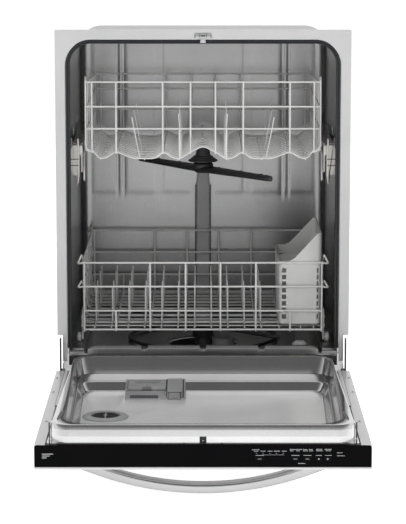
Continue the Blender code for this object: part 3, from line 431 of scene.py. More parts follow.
def dress(node, look, bevel=0.0, rounds=2):
    """Keeps a CAD node and gives it a finish and soft edges."""
    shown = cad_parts[node]
    shown.data.materials.clear()
    shown.data.materials.append(LOOKS[look])
    if bevel:
        soften(shown, bevel, rounds)
        shown.modifiers["soft_edges"].harden_normals = False


def add_side_box(bm, hand, low, high, radius=0.0, rounds=2):
    """Adds a box on one side of the middle; its corners are given as on the right."""
    if hand < 0:
        low, high = (-high[0], low[1], low[2]), (-low[0], high[1], high[2])
    add_box(bm, low, high, radius, rounds)


# Tub

TUB_X = TUB[1].x - 0.002
TUB_TOP = TUB[1].z - 0.002
TUB_FOOT = TUB[0].z
TUB_FRONT = TUB[0].y
TUB_REAR = TUB[1].y - 0.002
TUB_CORNER = 0.05
REAR_CORNER = 0.024
RIB_X = (0.1815, 0.195)         # two narrow ribs on each side of the back wall
PILASTER_X = (0.09, 0.112)    # and one wide one
PANEL_FOOT = 0.462               # the raised upper panels end here
PANEL_RISE = 0.0006
RIB_DEPTH = 0.0016


def back_relief(x, z):
    """How far the back wall stands forward: soft raised panels above, with pressed ribs."""
    x = abs(x)
    edge = smoothstep(0.255, 0.249, x)
    top = smoothstep(TUB_TOP - 0.03, TUB_TOP - 0.042, z)
    above = smoothstep(PANEL_FOOT - 0.008, PANEL_FOOT + 0.008, z)
    raised = PANEL_RISE * edge * top * above
    ribs = 0.0
    for middle in RIB_X:
        ribs = max(ribs, smoothstep(0.006, 0.002, abs(x - middle)))
    wide = smoothstep(PILASTER_X[0] - 0.003, PILASTER_X[0] + 0.003, x)
    wide *= smoothstep(PILASTER_X[1] + 0.003, PILASTER_X[1] - 0.003, x)
    fade = smoothstep(PANEL_FOOT - 0.02, PANEL_FOOT + 0.02, z) * top
    return (raised - (RIB_DEPTH * ribs + 0.0008 * wide) * fade) * smoothstep(0.024, 0.034, x)


def side_relief(y, z):
    """The side walls' shallow outward panels."""
    lower = smoothstep(0.235, 0.25, z) * smoothstep(0.54, 0.525, z)
    upper = smoothstep(0.66, 0.675, z) * smoothstep(0.785, 0.77, z)
    along = smoothstep(back(0.05), back(0.064), y) * smoothstep(TUB_REAR - 0.045, TUB_REAR - 0.06, y)
    return 0.0022 * max(lower, upper) * along


def steps_between(low, high, step, extra=()):
    count = max(1, round((high - low) / step))
    spots = {round(low + (high - low) * k / count, 5) for k in range(count + 1)}
    spots |= {round(e, 5) for e in extra if low < e < high}
    return sorted(spots)


def tub_point(x, z, inset):
    """Moves a point of the back wall's square grid onto the tub's section at an inset."""
    half_back, top_back = TUB_X - REAR_CORNER, TUB_TOP - REAR_CORNER
    half, top, radius = TUB_X - inset, TUB_TOP - inset, TUB_CORNER - inset
    x = x * half / half_back
    z = TUB_FOOT + (z - TUB_FOOT) * (top - TUB_FOOT) / (top_back - TUB_FOOT)
    u = (abs(x) - (half - radius)) / radius
    v = (z - (top - radius)) / radius
    if u > 0 and v > 0:
        x = math.copysign(half - radius + radius * u * math.sqrt(1 - v * v / 2), x)
        z = top - radius + radius * v * math.sqrt(1 - u * u / 2)
    return x, z


def make_tub():
    """One pressed sheet: walls with shallow panels, rounded rear edges and a ribbed back."""
    half, top = TUB_X - REAR_CORNER, TUB_TOP - REAR_CORNER
    rib_edges = [m + d for m in RIB_X for d in (-0.006, -0.0045, -0.0025, 0.0025, 0.0045, 0.006)]
    rib_edges += [p + d for p in PILASTER_X for d in (-0.003, 0, 0.003)]
    rib_edges += [0.024, 0.029, 0.034, 0.249, 0.252, 0.255]
    columns = steps_between(-half, half, 0.011, rib_edges + [-e for e in rib_edges])
    rows = steps_between(TUB_FOOT, top, 0.012, (
        PANEL_FOOT - 0.02, PANEL_FOOT - 0.008, PANEL_FOOT - 0.004, PANEL_FOOT, PANEL_FOOT + 0.004,
        PANEL_FOOT + 0.008,
        top - 0.004, top - 0.008, top - 0.012, top - 0.016, top - 0.02, top - 0.025))
    path = [(-half, z) for z in rows] + [(x, top) for x in columns[1:-1]]
    path += [(half, z) for z in reversed(rows)]
    bm = bmesh.new()
    sections = []
    flat_end = TUB_REAR - REAR_CORNER
    lines = steps_between(TUB_FRONT, flat_end, 0.022, (back(0.05), back(0.057), back(0.064)))
    for y in lines:
        row = []
        for x, z in path:
            px, pz = tub_point(x, z, 0)
            if abs(abs(px) - TUB_X) < 1e-5:
                px += math.copysign(side_relief(y, pz), px)
            row.append((px, y, pz))
        sections.append(row)
    for k in range(1, 7):
        angle = math.radians(15 * k)
        inset = REAR_CORNER * (1 - math.cos(angle))
        y = flat_end + REAR_CORNER * math.sin(angle)
        sections.append([(p[0], y, p[1]) for p in (tub_point(x, z, inset) for x, z in path)])
    loft(bm, sections, ring=False)
    grid = []
    for z in rows:
        line = []
        for x in columns:
            px, pz = tub_point(x, z, REAR_CORNER)
            line.append((px, TUB_REAR - back_relief(px, pz), pz))
        grid.append(line)
    loft(bm, grid, ring=False)
    bmesh.ops.remove_doubles(bm, verts=bm.verts, dist=0.00005)
    lining = piece("tub_lining", bm, "cabinet", "tub", ("tub_shell",), crease=60, sheet=-0.0018)
    lining.data.materials[0] = LOOKS["blanket"]
    lining.data.materials.append(LOOKS["tub"])
    lining.modifiers["sheet"].material_offset = 1


def make_studs():
    """The mounting plate and stud of each rail wheel, on the tub's side walls."""
    for place in PLACES:
        for side, hand in HANDS:
            low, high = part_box(f"rail_wheel_{place}_{side}")
            y, z = (low.y + high.y) / 2, (low.z + high.z) / 2
            bm = bmesh.new()
            add_side_box(bm, hand, (TUB_X - 0.0032, y - 0.013, z - 0.03),
                         (TUB_X - 0.0001, y + 0.013, z + 0.03), 0.0014, 3)
            tip, head = 0.2627, TUB_X - 0.002
            profile = ((0, tip), (0.0024, tip), (0.003, tip + 0.0006), (0.003, head - 0.001),
                       (0.0052, head - 0.001), (0.0052, head), (0, head))
            add_turned(bm, [(r, h * hand) for r, h in profile], (0, y, z), "X", 24)
            for offset in (-0.021, 0.021):
                rivet = ((0, TUB_X - 0.0045), (0.0022, TUB_X - 0.0043), (0.0034, TUB_X - 0.0034),
                         (0, TUB_X - 0.003))
                add_turned(bm, [(r, h * hand) for r, h in rivet], (0, y, z + offset), "X", 16)
            piece(f"wheel_stud_{place}_{side}", bm, "cabinet", "rail", crease=30)


def make_tub_bottom():
    """The basin with its sloping floor, eased at every step."""
    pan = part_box("tub_bottom")
    top = 0.1897
    keys = (
        (pan[1].x, pan[0].y, pan[1].y, 0.02, top), (0.24, back(0.07), back(0.54), 0.045, top),
        (0.232, back(0.082), back(0.532), 0.06, top - 0.002),
        (0.204, back(0.108), back(0.508), 0.06, 0.1735),
        (0.13, back(0.175), back(0.4), 0.08, 0.1695), (0.079, back(0.191), back(0.349), 0.0789, 0.1665),
        (0.078, back(0.192), back(0.348), 0.0779, 0.164),
    )
    bm = bmesh.new()
    rows = []
    for half_x, front, rear, radius, height in eased(keys, 0.006, steps=4):
        rows.append([(x, y, height) for x, y in rounded_ring(half_x, front, rear, radius)])
    loft(bm, rows)
    piece("tub_basin", bm, "cabinet", "tub", ("tub_bottom",), crease=50, sheet=0.0018)
    sill_top = pan[1].z
    bm = bmesh.new()
    sections = []
    for x in steps_between(-0.24, 0.24, 0.01, [n + d for n in (-0.122, 0, 0.122)
                                                  for d in (-0.007, -0.005, 0, 0.005, 0.007)]):
        notch = max(smoothstep(0.007, 0.0045, abs(x - n)) for n in (-0.122, 0.0, 0.122))
        ends = 0.004 * smoothstep(0.234, 0.24, abs(x))
        crown = sill_top - 0.006 * notch - ends
        profile = eased(((back(0.0045), 0.1885), (back(0.0045), crown), (back(0.0225), crown),
                         (back(0.0225), 0.1885)), 0.005, steps=5)
        sections.append([(x, y, z) for y, z in profile])
    add_solid(bm, sections)
    piece("tub_sill", bm, "cabinet", "tub", crease=50)
    bm = bmesh.new()
    add_box(bm, (-0.2795, back(0.0048), 0.169), (0.2795, back(0.0068), 0.1895), 0.0006)
    piece("tub_front_apron", bm, "cabinet", "rubber")
    for side, hand in HANDS:
        bm = bmesh.new()
        sections = []
        for y, drop in ((0.011, 0.006), (0.014, 0.002), (0.018, 0.0), (0.49, 0.0), (0.505, 0.001),
                        (0.52, 0.008)):
            profile = eased(((0.247, 0.189), (0.2475, 0.2043 - drop), (0.2792, 0.2043 - drop),
                             (0.2797, 0.189)), 0.003, steps=4)
            sections.append([(x * hand, back(y), z) for x, z in profile])
        add_solid(bm, sections)
        piece(f"wheel_track_{side}", bm, "cabinet", "tub", crease=50)


def make_flange():
    """The painted frame with soft folded edges."""
    half, top, radius = 0.2826, 0.8466, 0.0521      # the mouth
    foot, step, leg = 0.178, 0.2335, 0.292          # the legs narrow below the step
    depth, fold = 0.01, 0.0014
    fold_front, fold_rear = back(0.0095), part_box("front_flange")[1].y
    inner = arch(half, foot, top, radius)
    outline = [(-leg, foot), (-leg, step), (-HALF_WIDTH, step), (-HALF_WIDTH, FLANGE_TOP),
               (HALF_WIDTH, FLANGE_TOP), (HALF_WIDTH, step), (leg, step), (leg, foot)]
    bm = bmesh.new()
    ring = outline + list(reversed(inner))
    near = [bm.verts.new((x, back(0), z)) for x, z in ring]
    far = [bm.verts.new((x, back(depth), z)) for x, z in ring]
    bm.faces.new(near)
    bm.faces.new(list(reversed(far)))
    for k in range(len(ring)):
        j = (k + 1) % len(ring)
        bm.faces.new((near[k], far[k], far[j], near[j]))
    piece("flange_frame", bm, "cabinet", "flange", ("front_flange",), bevel=0.0009, rounds=3)
    bm = bmesh.new()
    for hand in (-1, 1):
        add_side_box(bm, hand, (HALF_WIDTH - fold, fold_front, step), (HALF_WIDTH, fold_rear, FLANGE_TOP),
                     0.0005)
    add_box(bm, (-HALF_WIDTH, fold_front, FLANGE_TOP - fold), (HALF_WIDTH, fold_rear, FLANGE_TOP), 0.0005)
    piece("flange_folds", bm, "cabinet", "flange")


def make_gasket():
    """The door seal: a bulb with a groove, following the mouth."""
    outer, inner = (0.282, 0.846, 0.0515), (0.2725, 0.838, 0.043)   # half width, top, radius
    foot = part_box("door_gasket")[0].z
    loop = ((0.0, 0.0098), (0.0, 0.003), (0.1, 0.0012), (0.28, 0.0004), (0.44, 0.0012), (0.52, 0.0028),
            (0.6, 0.0012), (0.76, 0.0004), (0.92, 0.0014), (1.0, 0.0035), (1.0, 0.0098))
    rows = []
    for share, depth in loop:
        half, top, radius = (o + (i - o) * share for o, i in zip(outer, inner))
        rows.append([(x, back(depth), z) for x, z in arch(half, foot, top, radius, 24)])
    bm = bmesh.new()
    made = loft(bm, rows, ring=False, wrap=True)
    bm.faces.new([row[0] for row in made])
    bm.faces.new([row[-1] for row in reversed(made)])
    piece("mouth_seal", bm, "cabinet", "rubber", ("door_gasket",), crease=50)


def screw(bm, centre, radius, axis, outward, segments=20):
    """A pan head with a cross slot; outward is +1 or -1 along the axis."""
    height = radius * 0.55 * outward
    profile = ((0, -0.0002 * outward), (radius, -0.0002 * outward), (radius, height * 0.35),
               (radius * 0.8, height * 0.85), (radius * 0.45, height), (radius * 0.4, height * 0.35),
               (0, height * 0.3))
    add_turned(bm, profile, centre, axis, segments)


def make_strike():
    low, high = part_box("strike_plate")
    bm = bmesh.new()
    add_box(bm, (low.x, low.y + 0.0009, high.z - 0.0118), (high.x, high.y, high.z), 0.0006, 3)
    add_box(bm, (-0.0068, low.y, high.z - 0.01), (0.0068, high.y, high.z - 0.0015), 0.0007, 3)
    add_box(bm, (-0.0055, low.y + 0.0002, low.z), (0.0055, high.y, high.z - 0.008), 0.0009, 3)
    add_turned(bm, ((0, -0.006), (0.0011, -0.006), (0.0011, 0.006), (0, 0.006)),
               (0, low.y + 0.0012, low.z + 0.0024), "X", 16)
    for hand in (-1, 1):
        screw(bm, (hand * 0.0122, low.y + 0.0011, high.z - 0.0058), 0.0026, "Y", -1)
    piece("strike", bm, "cabinet", "rail", ("strike_plate",), crease=30)
    bm = bmesh.new()
    for hand in (-1, 1):
        add_side_box(bm, hand, (0.007, low.y + 0.0002, high.z - 0.0088),
                     (0.0084, low.y + 0.001, high.z - 0.0022))
        add_side_box(bm, hand, (0.0158, low.y + 0.0004, high.z - 0.01),
                     (0.017, low.y + 0.001, high.z - 0.0026))
    add_box(bm, (-0.0052, low.y - 0.0002, high.z - 0.0072), (0.0052, low.y + 0.0004, high.z - 0.0042))
    piece("strike_slots", bm, "cabinet", "dark")


def make_feed_tube():
    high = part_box("feed_tube")[1]
    half = high.x
    bm = bmesh.new()
    sections = []
    for z, width, depth in ((0.1904, half, 0.54), (0.33, half, 0.54), (0.48, half, 0.54),
                            (0.5, 0.0135, 0.541),
                            (0.59, 0.0125, 0.5415), (0.598, 0.01, 0.544)):
        profile = eased(((-width, high.y), (-width, back(depth)), (width, back(depth)), (width, high.y)),
                        0.005, steps=5)
        sections.append([(x, y, z) for x, y in profile])
    add_solid(bm, sections)
    add_box(bm, (-half, back(0.352), 0.1905), (half, back(0.542), 0.201), 0.003, 4)
    add_box(bm, (-half, back(0.352), 0.1722), (half, back(0.371), 0.1995), 0.003, 4)
    dock_z = 0.5795
    dock = ((0.0075, 0.5287), (0.0118, 0.5287), (0.0125, 0.5295), (0.0125, 0.5335), (0.014, 0.5342),
            (0.014, 0.5362), (0.0125, 0.537), (0.0125, 0.544), (0.0075, 0.544))
    add_turned(bm, dock, (0, back(0), dock_z), "Y", 32)
    for z in (0.235, 0.3, 0.365, 0.43):
        add_box(bm, (-half - 0.0022, back(0.5405), z), (half + 0.0022, high.y, z + 0.0035), 0.0008)
    piece("back_duct", bm, "cabinet", "duct", ("feed_tube",), crease=40)
    # Painted shade: dark strips on both sides of the duct stand in for the shade along its edges.
    bm = bmesh.new()
    for hand in (-1, 1):
        add_side_box(bm, hand, (half - 0.0004, back(0.5398), 0.201), (half + 0.0018, high.y, 0.48), 0.0004)
    piece("duct_side_shadow_strips", bm, "cabinet", "shade")


# Door

DOOR_PLANE = 0.1663
RIM_TOP, RIM_TOP_NEAR = 0.2035, 0.199
RIM_TAPER = 0.036                # how much the rim's sides close in towards the near end
RIM_NEAR_X = 0.276               # the near wall's half width
TRAY_TOP = 0.1512                # only the tray's floor lies lower


def rim_height(y):
    """The rim falls slightly from the hinge side to the console side."""
    return RIM_TOP + (RIM_TOP_NEAR - RIM_TOP) * smoothstep(out(0.1), out(0.66), y)


def make_liner():
    """The pressed inner door: border, raised rim, ledge and tray, eased at every step."""
    # half width, hinge end, near end, corner radius, share of the rim's height, level over the
    # border, and +1 outside the rim (widening at the near end) or -1 inside it
    keys = (
        (0.2815, 0.041, 0.688, 0.006, 0.0, 0.0, 0), (0.272, 0.056, 0.6858, 0.016, 0.0, 0.0, 0.5),
        (0.265, 0.062, 0.6838, 0.034, 0.03, 0.0, 1), (0.2644, 0.0626, 0.6832, 0.035, 0.35, 0.0, 1),
        (0.264, 0.063, 0.682, 0.036, 0.7, 0.0, 1), (0.2634, 0.064, 0.68, 0.037, 0.98, 0.0, 1),
        (0.2622, 0.0655, 0.6784, 0.038, 1.0, 0.0, 1), (0.2606, 0.0715, 0.6722, 0.046, 1.0, 0.0, -1),
        (0.2596, 0.0735, 0.6708, 0.046, 0.97, 0.0, -1), (0.2556, 0.086, 0.664, 0.046, 0.0, 0.0045, -1),
        (0.255, 0.089, 0.662, 0.046, 0.0, 0.0037, -1), (0.252, 0.159, 0.652, 0.034, 0.0, 0.0037, -1),
        (0.25, 0.1615, 0.65, 0.032, 0.0, 0.003, -1), (0.24, 0.1705, 0.645, 0.027, 0.0, -0.0155, -1),
        (0.2365, 0.174, 0.642, 0.025, 0.0, -0.0163, -1),
    )
    bm = bmesh.new()
    rows = []
    for half_x, hinge, near, radius, share, level, side in eased(keys, 0.0045, steps=4):
        row = []
        for x, y in rounded_ring(half_x, out(near), out(hinge), radius, 16):
            reach = reach_of(y)
            taper = RIM_TAPER * smoothstep(0.2, 0.62, reach) * abs(side)
            flare = (RIM_NEAR_X / half_x - 1 + taper) * smoothstep(0.615, 0.65, reach) * max(side, 0)
            z = DOOR_PLANE + level + (rim_height(y) - DOOR_PLANE) * share
            row.append((x * (1 + flare - taper), y, z))
        rows.append(row)
    made = loft(bm, rows)
    bm.faces.new(made[-1])
    liner = piece("inner_door", bm, "door", "steel", ("door_liner",), crease=60)
    liner.data.materials.append(LOOKS["tray"])
    # Painted sheen: the level faces of the tray's floor take the brighter copy of the stainless, standing in
    # for the light they reflect.
    for face in liner.data.polygons:
        if face.center.z < TRAY_TOP and abs(face.normal.z) > 0.97:
            face.material_index = 1
    thick = liner.modifiers.new("sheet", "SOLIDIFY")
    thick.thickness = SHEET
    thick.offset = -1
    bpy.context.view_layer.update()
    solid = bpy.data.meshes.new_from_object(liner.evaluated_get(bpy.context.evaluated_depsgraph_get()))
    liner.modifiers.clear()
    liner.data = solid
    low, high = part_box("dispenser_body")
    vent_low, vent_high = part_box("vent_cap")
    centre = (vent_low + vent_high) / 2
    hole = bmesh.new()
    add_box(hole, (low.x + 0.0004, low.y + 0.0004, 0.1312), (high.x - 0.0004, high.y - 0.0004, 0.1911))
    carve(liner, hole, "MANIFOLD")
    hole = bmesh.new()
    add_turned(hole, ((0, 0.1404), (0.026, 0.1404), (0.026, 0.1604), (0, 0.1604)), (centre.x, centre.y, 0),
               "Z", 32)
    carve(liner, hole, "MANIFOLD")


def make_door_strips():
    """The raised bar beside the rim, flat dark strips of painted shade along its sides, in the border's gaps
    and slots and at the rim's end, and the screws of the outer panel's lips.
    """
    strip_z = DOOR_PLANE + 0.0001
    seam_foot, seam_top = 0.1655, 0.1668
    for side, hand in HANDS:
        bm = bmesh.new()
        sections = []
        for reach, height in ((0.048, 0.002), (0.052, 0.0026), (0.36, 0.0026), (0.37, 0.0012),
                              (0.374, 0.0003)):
            crest = strip_z + height
            profile = eased(((0.277, strip_z), (0.2778, crest), (0.2842, crest), (0.285, strip_z)), 0.0008,
                            steps=3)
            sections.append([(x * hand, out(reach), h) for x, h in profile])
        add_solid(bm, sections)
        piece(f"hinge_cover_strip_{side}", bm, "door", "flange", crease=40)
        # Painted shade: flat dark strips beside the raised bar, in the border's gaps and slot, at the rim's
        # near end and in a slot on the rim stand in for the shadow there.
        bm = bmesh.new()
        for x0, x1, near, far in ((0.2714, 0.2769, 0.376, 0.05), (0.2851, 0.2859, 0.376, 0.05),
                                  (0.277, 0.285, 0.382, 0.374),
                                  (0.2655, 0.269, 0.56, 0.06), (0.261, 0.265, 0.5, 0.43)):
            add_side_box(bm, hand, (x0, out(near), seam_foot), (x1, out(far), seam_top))
        add_side_box(bm, hand, (0.2772, out(0.653), 0.167), (0.2797, out(0.65), 0.1968))
        sections = []
        for reach, x, width in ((0.572, 0.259, 0.0018), (0.576, 0.2592, 0.0034), (0.63, 0.263, 0.003),
                                (0.64, 0.2638, 0.0012)):
            z = rim_height(out(reach))
            sections.append([((x + dx) * hand, out(reach), z + dz) for dx, dz in (
                (-width, -0.0006), (-width, 0.00025), (width, 0.00025), (width, -0.0006))])
        add_solid(bm, sections)
        piece(f"door_side_shadow_strips_{side}", bm, "door", "shade")
        bm = bmesh.new()
        for reach, x in ((0.112, 0.2977), (0.248, 0.2965), (0.509, 0.2931)):
            screw(bm, (hand * x, out(reach), 0.166), 0.0024, "Z", 1)
        piece(f"lip_screws_{side}", bm, "door", "rail", crease=30)


BUTTON_NAMES = ("start", "cancel", "heat", "dry", "cycle")


def make_console():
    """The gloss panel with soft edges and a pocket for each button."""
    low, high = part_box("console")
    front = low.y
    bm = bmesh.new()
    profile = eased(((front, low.z), (front, high.z - 0.0004), (front + 0.011, high.z),
                     (front + 0.011, high.z - 0.003),
                     (front + 0.0275, high.z - 0.003), (front + 0.0275, low.z)), 0.0012, steps=4)
    half, corner, rise = high.x, 0.005, high.z - low.z
    ends = [-half + corner * (1 - math.cos(math.radians(90 * k / 8))) for k in range(9)]
    sections = []
    for x in ends + [-e for e in reversed(ends)]:
        share = min((half - abs(x)) / corner, 1.0)
        drop = corner * (1 - math.sqrt(max(0.0, 1 - (1 - share) ** 2)))
        sections.append([(x, y, z - drop * smoothstep(0.55, 1.0, (z - low.z) / rise)) for y, z in profile])
    add_solid(bm, sections)
    panel = piece("control_panel", bm, "door", "gloss", ("console",), crease=40)
    pockets = bmesh.new()
    for name in BUTTON_NAMES:
        a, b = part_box(f"button_{name}")
        add_box(pockets, (a.x - 0.0004, front - 0.001, a.z - 0.0004),
                (b.x + 0.0004, b.y + 0.0012, b.z + 0.0004))
    carve(panel, pockets)
    soften(panel, 0.0003)


def mark(bm, x, z, width, height, face):
    """A printed mark: a very thin raised bar on the console's or a button's face."""
    add_box(bm, (x, face - 0.00006, z), (x + width, face + 0.0004, z + height))


def make_print():
    """Generic marks: short bars for the labels, dots and a line for the lamps."""
    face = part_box("console")[0].y
    bm = bmesh.new()
    word, thin = 0.001, 0.0005
    labels = (
        (0.088, 0.157, 0.014), (0.0915, 0.1545, 0.008), (0.1035, 0.1545, 0.009), (0.116, 0.1545, 0.009),
        (0.1275, 0.1545, 0.011), (0.1415, 0.1545, 0.009), (0.156, 0.1575, 0.022), (0.1565, 0.155, 0.006),
        (0.168, 0.155, 0.006), (0.18, 0.1575, 0.007), (0.18, 0.155, 0.008), (0.19, 0.1575, 0.007),
        (0.19, 0.155, 0.008), (0.203, 0.1578, 0.011), (0.203, 0.1552, 0.012), (0.218, 0.1578, 0.013),
        (0.2205, 0.1552, 0.009), (0.2405, 0.1515, 0.01), (0.2405, 0.146, 0.014), (0.171, 0.1318, 0.013),
    )
    for x, z, width in labels:
        letters = max(2, round(width / 0.0021))
        for k in range(letters):
            tall = word * (1.25 if (k * 7 + round(x * 1e4)) % 3 == 0 else 0.95)
            mark(bm, x + width * k / letters, z, width / letters * 0.68, tall, face)
    for x in (0.095, 0.107, 0.119, 0.131, 0.143):
        mark(bm, x, 0.151, 0.0016, 0.0006, face)
    mark(bm, 0.106, 0.148, 0.04, thin * 0.6, face)
    for name in BUTTON_NAMES:
        a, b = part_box(f"button_{name}")
        mark(bm, a.x + 0.0006, b.z + 0.0012, b.x - a.x - 0.0012, thin * 1.3, face)
    for length, drop in ((0.02, 0.0), (0.014, 0.0035), (0.008, 0.007)):
        mark(bm, -0.289, 0.149 - drop, length, 0.0011, face)
    piece("console_marks", bm, "door", "print", crease=30)


def make_buttons():
    for name in BUTTON_NAMES:
        low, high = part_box(f"button_{name}")
        bm = bmesh.new()
        add_box(bm, low, high, 0.0009, 3)
        piece(f"{name}_button", bm, f"button_{name}", "button", (f"button_{name}",))
        bm = bmesh.new()
        middle = (low + high) / 2
        if name == "start":
            bars = ((-0.0022, -0.0016, 0.0008, 0.0032), (-0.0008, -0.001, 0.0007, 0.002),
                    (0.0004, -0.0005, 0.0007, 0.001))
        elif name == "cancel":
            bars = ((-0.001, -0.001, 0.002, 0.002),)
        else:
            bars = ((-0.003, -0.0003, 0.006, 0.0006),)
        for x, z, width, height in bars:
            mark(bm, middle.x + x, middle.z + z, width, height, low.y)
        piece(f"{name}_button_mark", bm, f"button_{name}", "print", crease=30)


def make_edge_trim():
    """The bright edge of the outer panel under the console."""
    low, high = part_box("door_outer_panel")
    bm = bmesh.new()
    z0, z1 = low.z + 0.0002, low.z + 0.0044
    add_box(bm, (low.x + 0.0003, low.y - 0.0002, z0), (high.x - 0.0003, low.y + 0.0018, z1), 0.0007, 3)
    piece("panel_edge", bm, "door", "skin", crease=40)


def make_handle():
    """The bowed bar, its section a soft rectangle that thins to nothing at both ends."""
    low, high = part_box("door_handle")
    foot, half = high.z, high.x
    near, far = low.y, high.y

    def arc_height(x, half_chord, apex):
        rise = foot - apex
        radius = (half_chord ** 2 + rise ** 2) / (2 * rise)
        return apex + radius - math.sqrt(radius ** 2 - min(abs(x), half_chord) ** 2)

    sections = []
    count = 72
    for k in range(count + 1):
        x = half * (2 * k / count - 1)
        lower = arc_height(x, half, low.z - 0.0045)
        upper = arc_height(x, 0.185, 0.0868) if abs(x) < 0.185 else foot
        thick = max(upper - lower, 0.0004)
        soft = min(0.0078, thick * 0.48)
        profile = eased(((near, lower + thick), (near, lower), (far, lower), (far, lower + thick)), soft,
                        True, 6)
        sections.append([(x, y, z) for y, z in profile])
    bm = bmesh.new()
    add_solid(bm, sections)
    piece("bowed_handle", bm, "door", "bar", ("door_handle",), crease=60)


def side_prism(bm, points, x0, x1, soft=0.0, steps=4):
    """A solid with a side view of (reach, z) points between two x planes."""
    outline = eased([(out(reach), z) for reach, z in points], soft, True, steps) if soft else [
        (out(reach), z) for reach, z in points]
    add_solid(bm, [[(x, y, z) for y, z in outline] for x in (x0, x1)])


def make_dispenser():
    """The housing sloping down to the tray's floor, the cover's channel and the rinse aid side."""
    low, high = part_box("dispenser_body")
    far, near = reach_of(high.y), reach_of(low.y)
    cover_low, cover_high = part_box("detergent_cover")
    flap_low, flap_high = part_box("rinse_aid_flap")
    bm = bmesh.new()
    slope = ((far, low.z), (far, 0.17), (0.196, 0.166), (0.214, 0.1605), (near - 0.001, 0.151), (near, 0.15),
             (near, low.z))
    side_prism(bm, slope, low.x, high.x)
    body = piece("dispenser_housing", bm, "door", "grey", ("dispenser_body",), crease=35)
    cuts = bmesh.new()
    add_box(cuts, (cover_low.x - 0.0006, out(0.26), cover_low.z - 0.0004),
            (cover_high.x + 0.0006, cover_high.y + 0.0003, 0.18))
    carve(body, cuts)
    cups = bmesh.new()
    add_box(cups, (-0.144, out(0.198), 0.14), (-0.08, out(0.156), 0.17), 0.005, 4)
    add_box(cups, (flap_low.x - 0.0008, out(0.26), 0.1494),
            (flap_high.x + 0.0008, flap_high.y + 0.0004, 0.18))
    carve(body, cups)
    soften(body, 0.0006)
    bm = bmesh.new()
    side_prism(bm, ((0.1465, 0.156), (0.1465, 0.1725), (0.2, 0.1682), (0.2165, 0.1628), (0.2203, 0.16),
                    (0.2203, 0.156)), -0.0713, -0.0407, 0.0012, 3)
    for x in (-0.0713, -0.0431):
        side_prism(bm, ((0.215, 0.156), (0.215, 0.163), (0.232, 0.1592), (0.24, 0.1545), (0.24, 0.15)),
                   x, x + 0.002, 0.0006, 3)
    side_prism(bm, ((0.148, 0.156), (0.148, 0.1722), (0.198, 0.1688), (0.244, 0.153), (0.244, 0.15)),
               high.x - 0.003, high.x - 0.0006, 0.0006, 3)
    side_prism(bm, ((0.1475, 0.156), (0.1475, 0.1712), (0.203, 0.168), (0.214, 0.162), (0.218, 0.156)),
               low.x + 0.0003, low.x + 0.0024, 0.0006, 3)
    piece("dispenser_frames", bm, "door", "grey", crease=40)
    # Painted shade: thin near-black strips stand in for the shadowed gaps beside the cover, under its sill
    # and notch, beside the rinse aid block and around the flap.
    bm = bmesh.new()
    side_prism(bm, ((0.149, 0.156), (0.149, 0.1702), (0.206, 0.1664), (0.209, 0.1605)),
               cover_high.x + 0.0002, cover_high.x + 0.0026)
    sill = cover_low.z - 0.0003
    add_box(bm, (cover_low.x - 0.0026, out(0.206), sill - 0.003), (cover_low.x - 0.0002, out(0.149), sill))
    middle = (cover_low.x + cover_high.x) / 2
    add_box(bm, (middle - 0.012, out(0.2062), sill - 0.001), (middle + 0.012, out(0.194), sill))
    for x in (-0.0728, -0.0402):
        side_prism(bm, ((0.1475, 0.156), (0.1475, 0.1716), (0.214, 0.164), (0.238, 0.156), (0.238, 0.152)),
                   x, x + 0.0012)
    add_box(bm, (flap_low.x + 0.0002, out(0.2209), 0.156), (flap_high.x - 0.0002, out(0.2202), 0.1597))
    for x in (flap_low.x - 0.0016, flap_high.x + 0.0002):
        side_prism(bm, ((0.2222, 0.15), (0.2222, 0.1592), (0.239, 0.1545), (0.244, 0.1512), (0.244, 0.15)),
                   x, x + 0.0014)
    add_box(bm, (flap_low.x - 0.0016, out(0.2222), 0.155), (flap_high.x + 0.0016, out(0.2206), 0.1602))
    piece("dispenser_gap_shadows", bm, "door", "rubber")
    # Painted shade: a flat dark strip in the shadow-grey finish on the housing's slope below the cover.
    bm = bmesh.new()
    side_prism(bm, ((0.231, 0.154), (0.231, 0.156), (0.232, 0.1562), (0.2415, 0.1534), (0.242, 0.1515)),
               low.x + 0.01, -0.089)
    piece("dispenser_slope_shadow", bm, "door", "shade", crease=35)


def make_cover():
    """The sliding cover: a soft plate with a long grip recess, a rolled lip and a finger notch."""
    low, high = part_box("detergent_cover")
    far, near = reach_of(high.y), reach_of(low.y)
    bm = bmesh.new()
    side = ((far, low.z), (far, high.z), (near - 0.028, high.z), (near - 0.017, high.z - 0.0022),
            (near - 0.01, high.z - 0.0008), (near - 0.002, high.z - 0.0042), (near, low.z + 0.002),
            (near, low.z))
    side_prism(bm, side, low.x, high.x, 0.0016, 4)
    cover = piece("sliding_cover", bm, "detergent_cover", "grey", ("detergent_cover",), crease=45)
    cuts = bmesh.new()
    middle = (low.x + high.x) / 2
    rows = []
    for z, grow in ((high.z - 0.0034, 0), (high.z + 0.001, 0.0016)):
        rows.append([(middle - 0.022 - grow, out(far + 0.024 + grow), z),
                     (middle + 0.022 + grow, out(far + 0.024 + grow), z),
                     (middle + 0.027 + grow, out(far + 0.008 - grow), z),
                     (middle - 0.027 - grow, out(far + 0.008 - grow), z)])
    add_solid(cuts, rows)
    carve(cover, cuts)
    notch = bmesh.new()
    add_turned(notch, ((0, low.z - 0.002), (0.0105, low.z - 0.002), (0.0105, high.z + 0.001),
                       (0, high.z + 0.001)),
               (middle, out(near + 0.003), 0), "Z", 40)
    carve(cover, notch)
    soften(cover, 0.0004)
    # Painted shade: the grip's ribs in the recess take the shadow-grey finish instead of the cover's grey.
    bm = bmesh.new()
    for k in range(4):
        y = out(far + 0.013 + 0.0028 * k)
        add_box(bm, (middle - 0.02, y, high.z - 0.004), (middle + 0.02, y + 0.0011, high.z - 0.0024), 0.0003)
    piece("cover_grip_ribs_in_shade", bm, "detergent_cover", "shade")


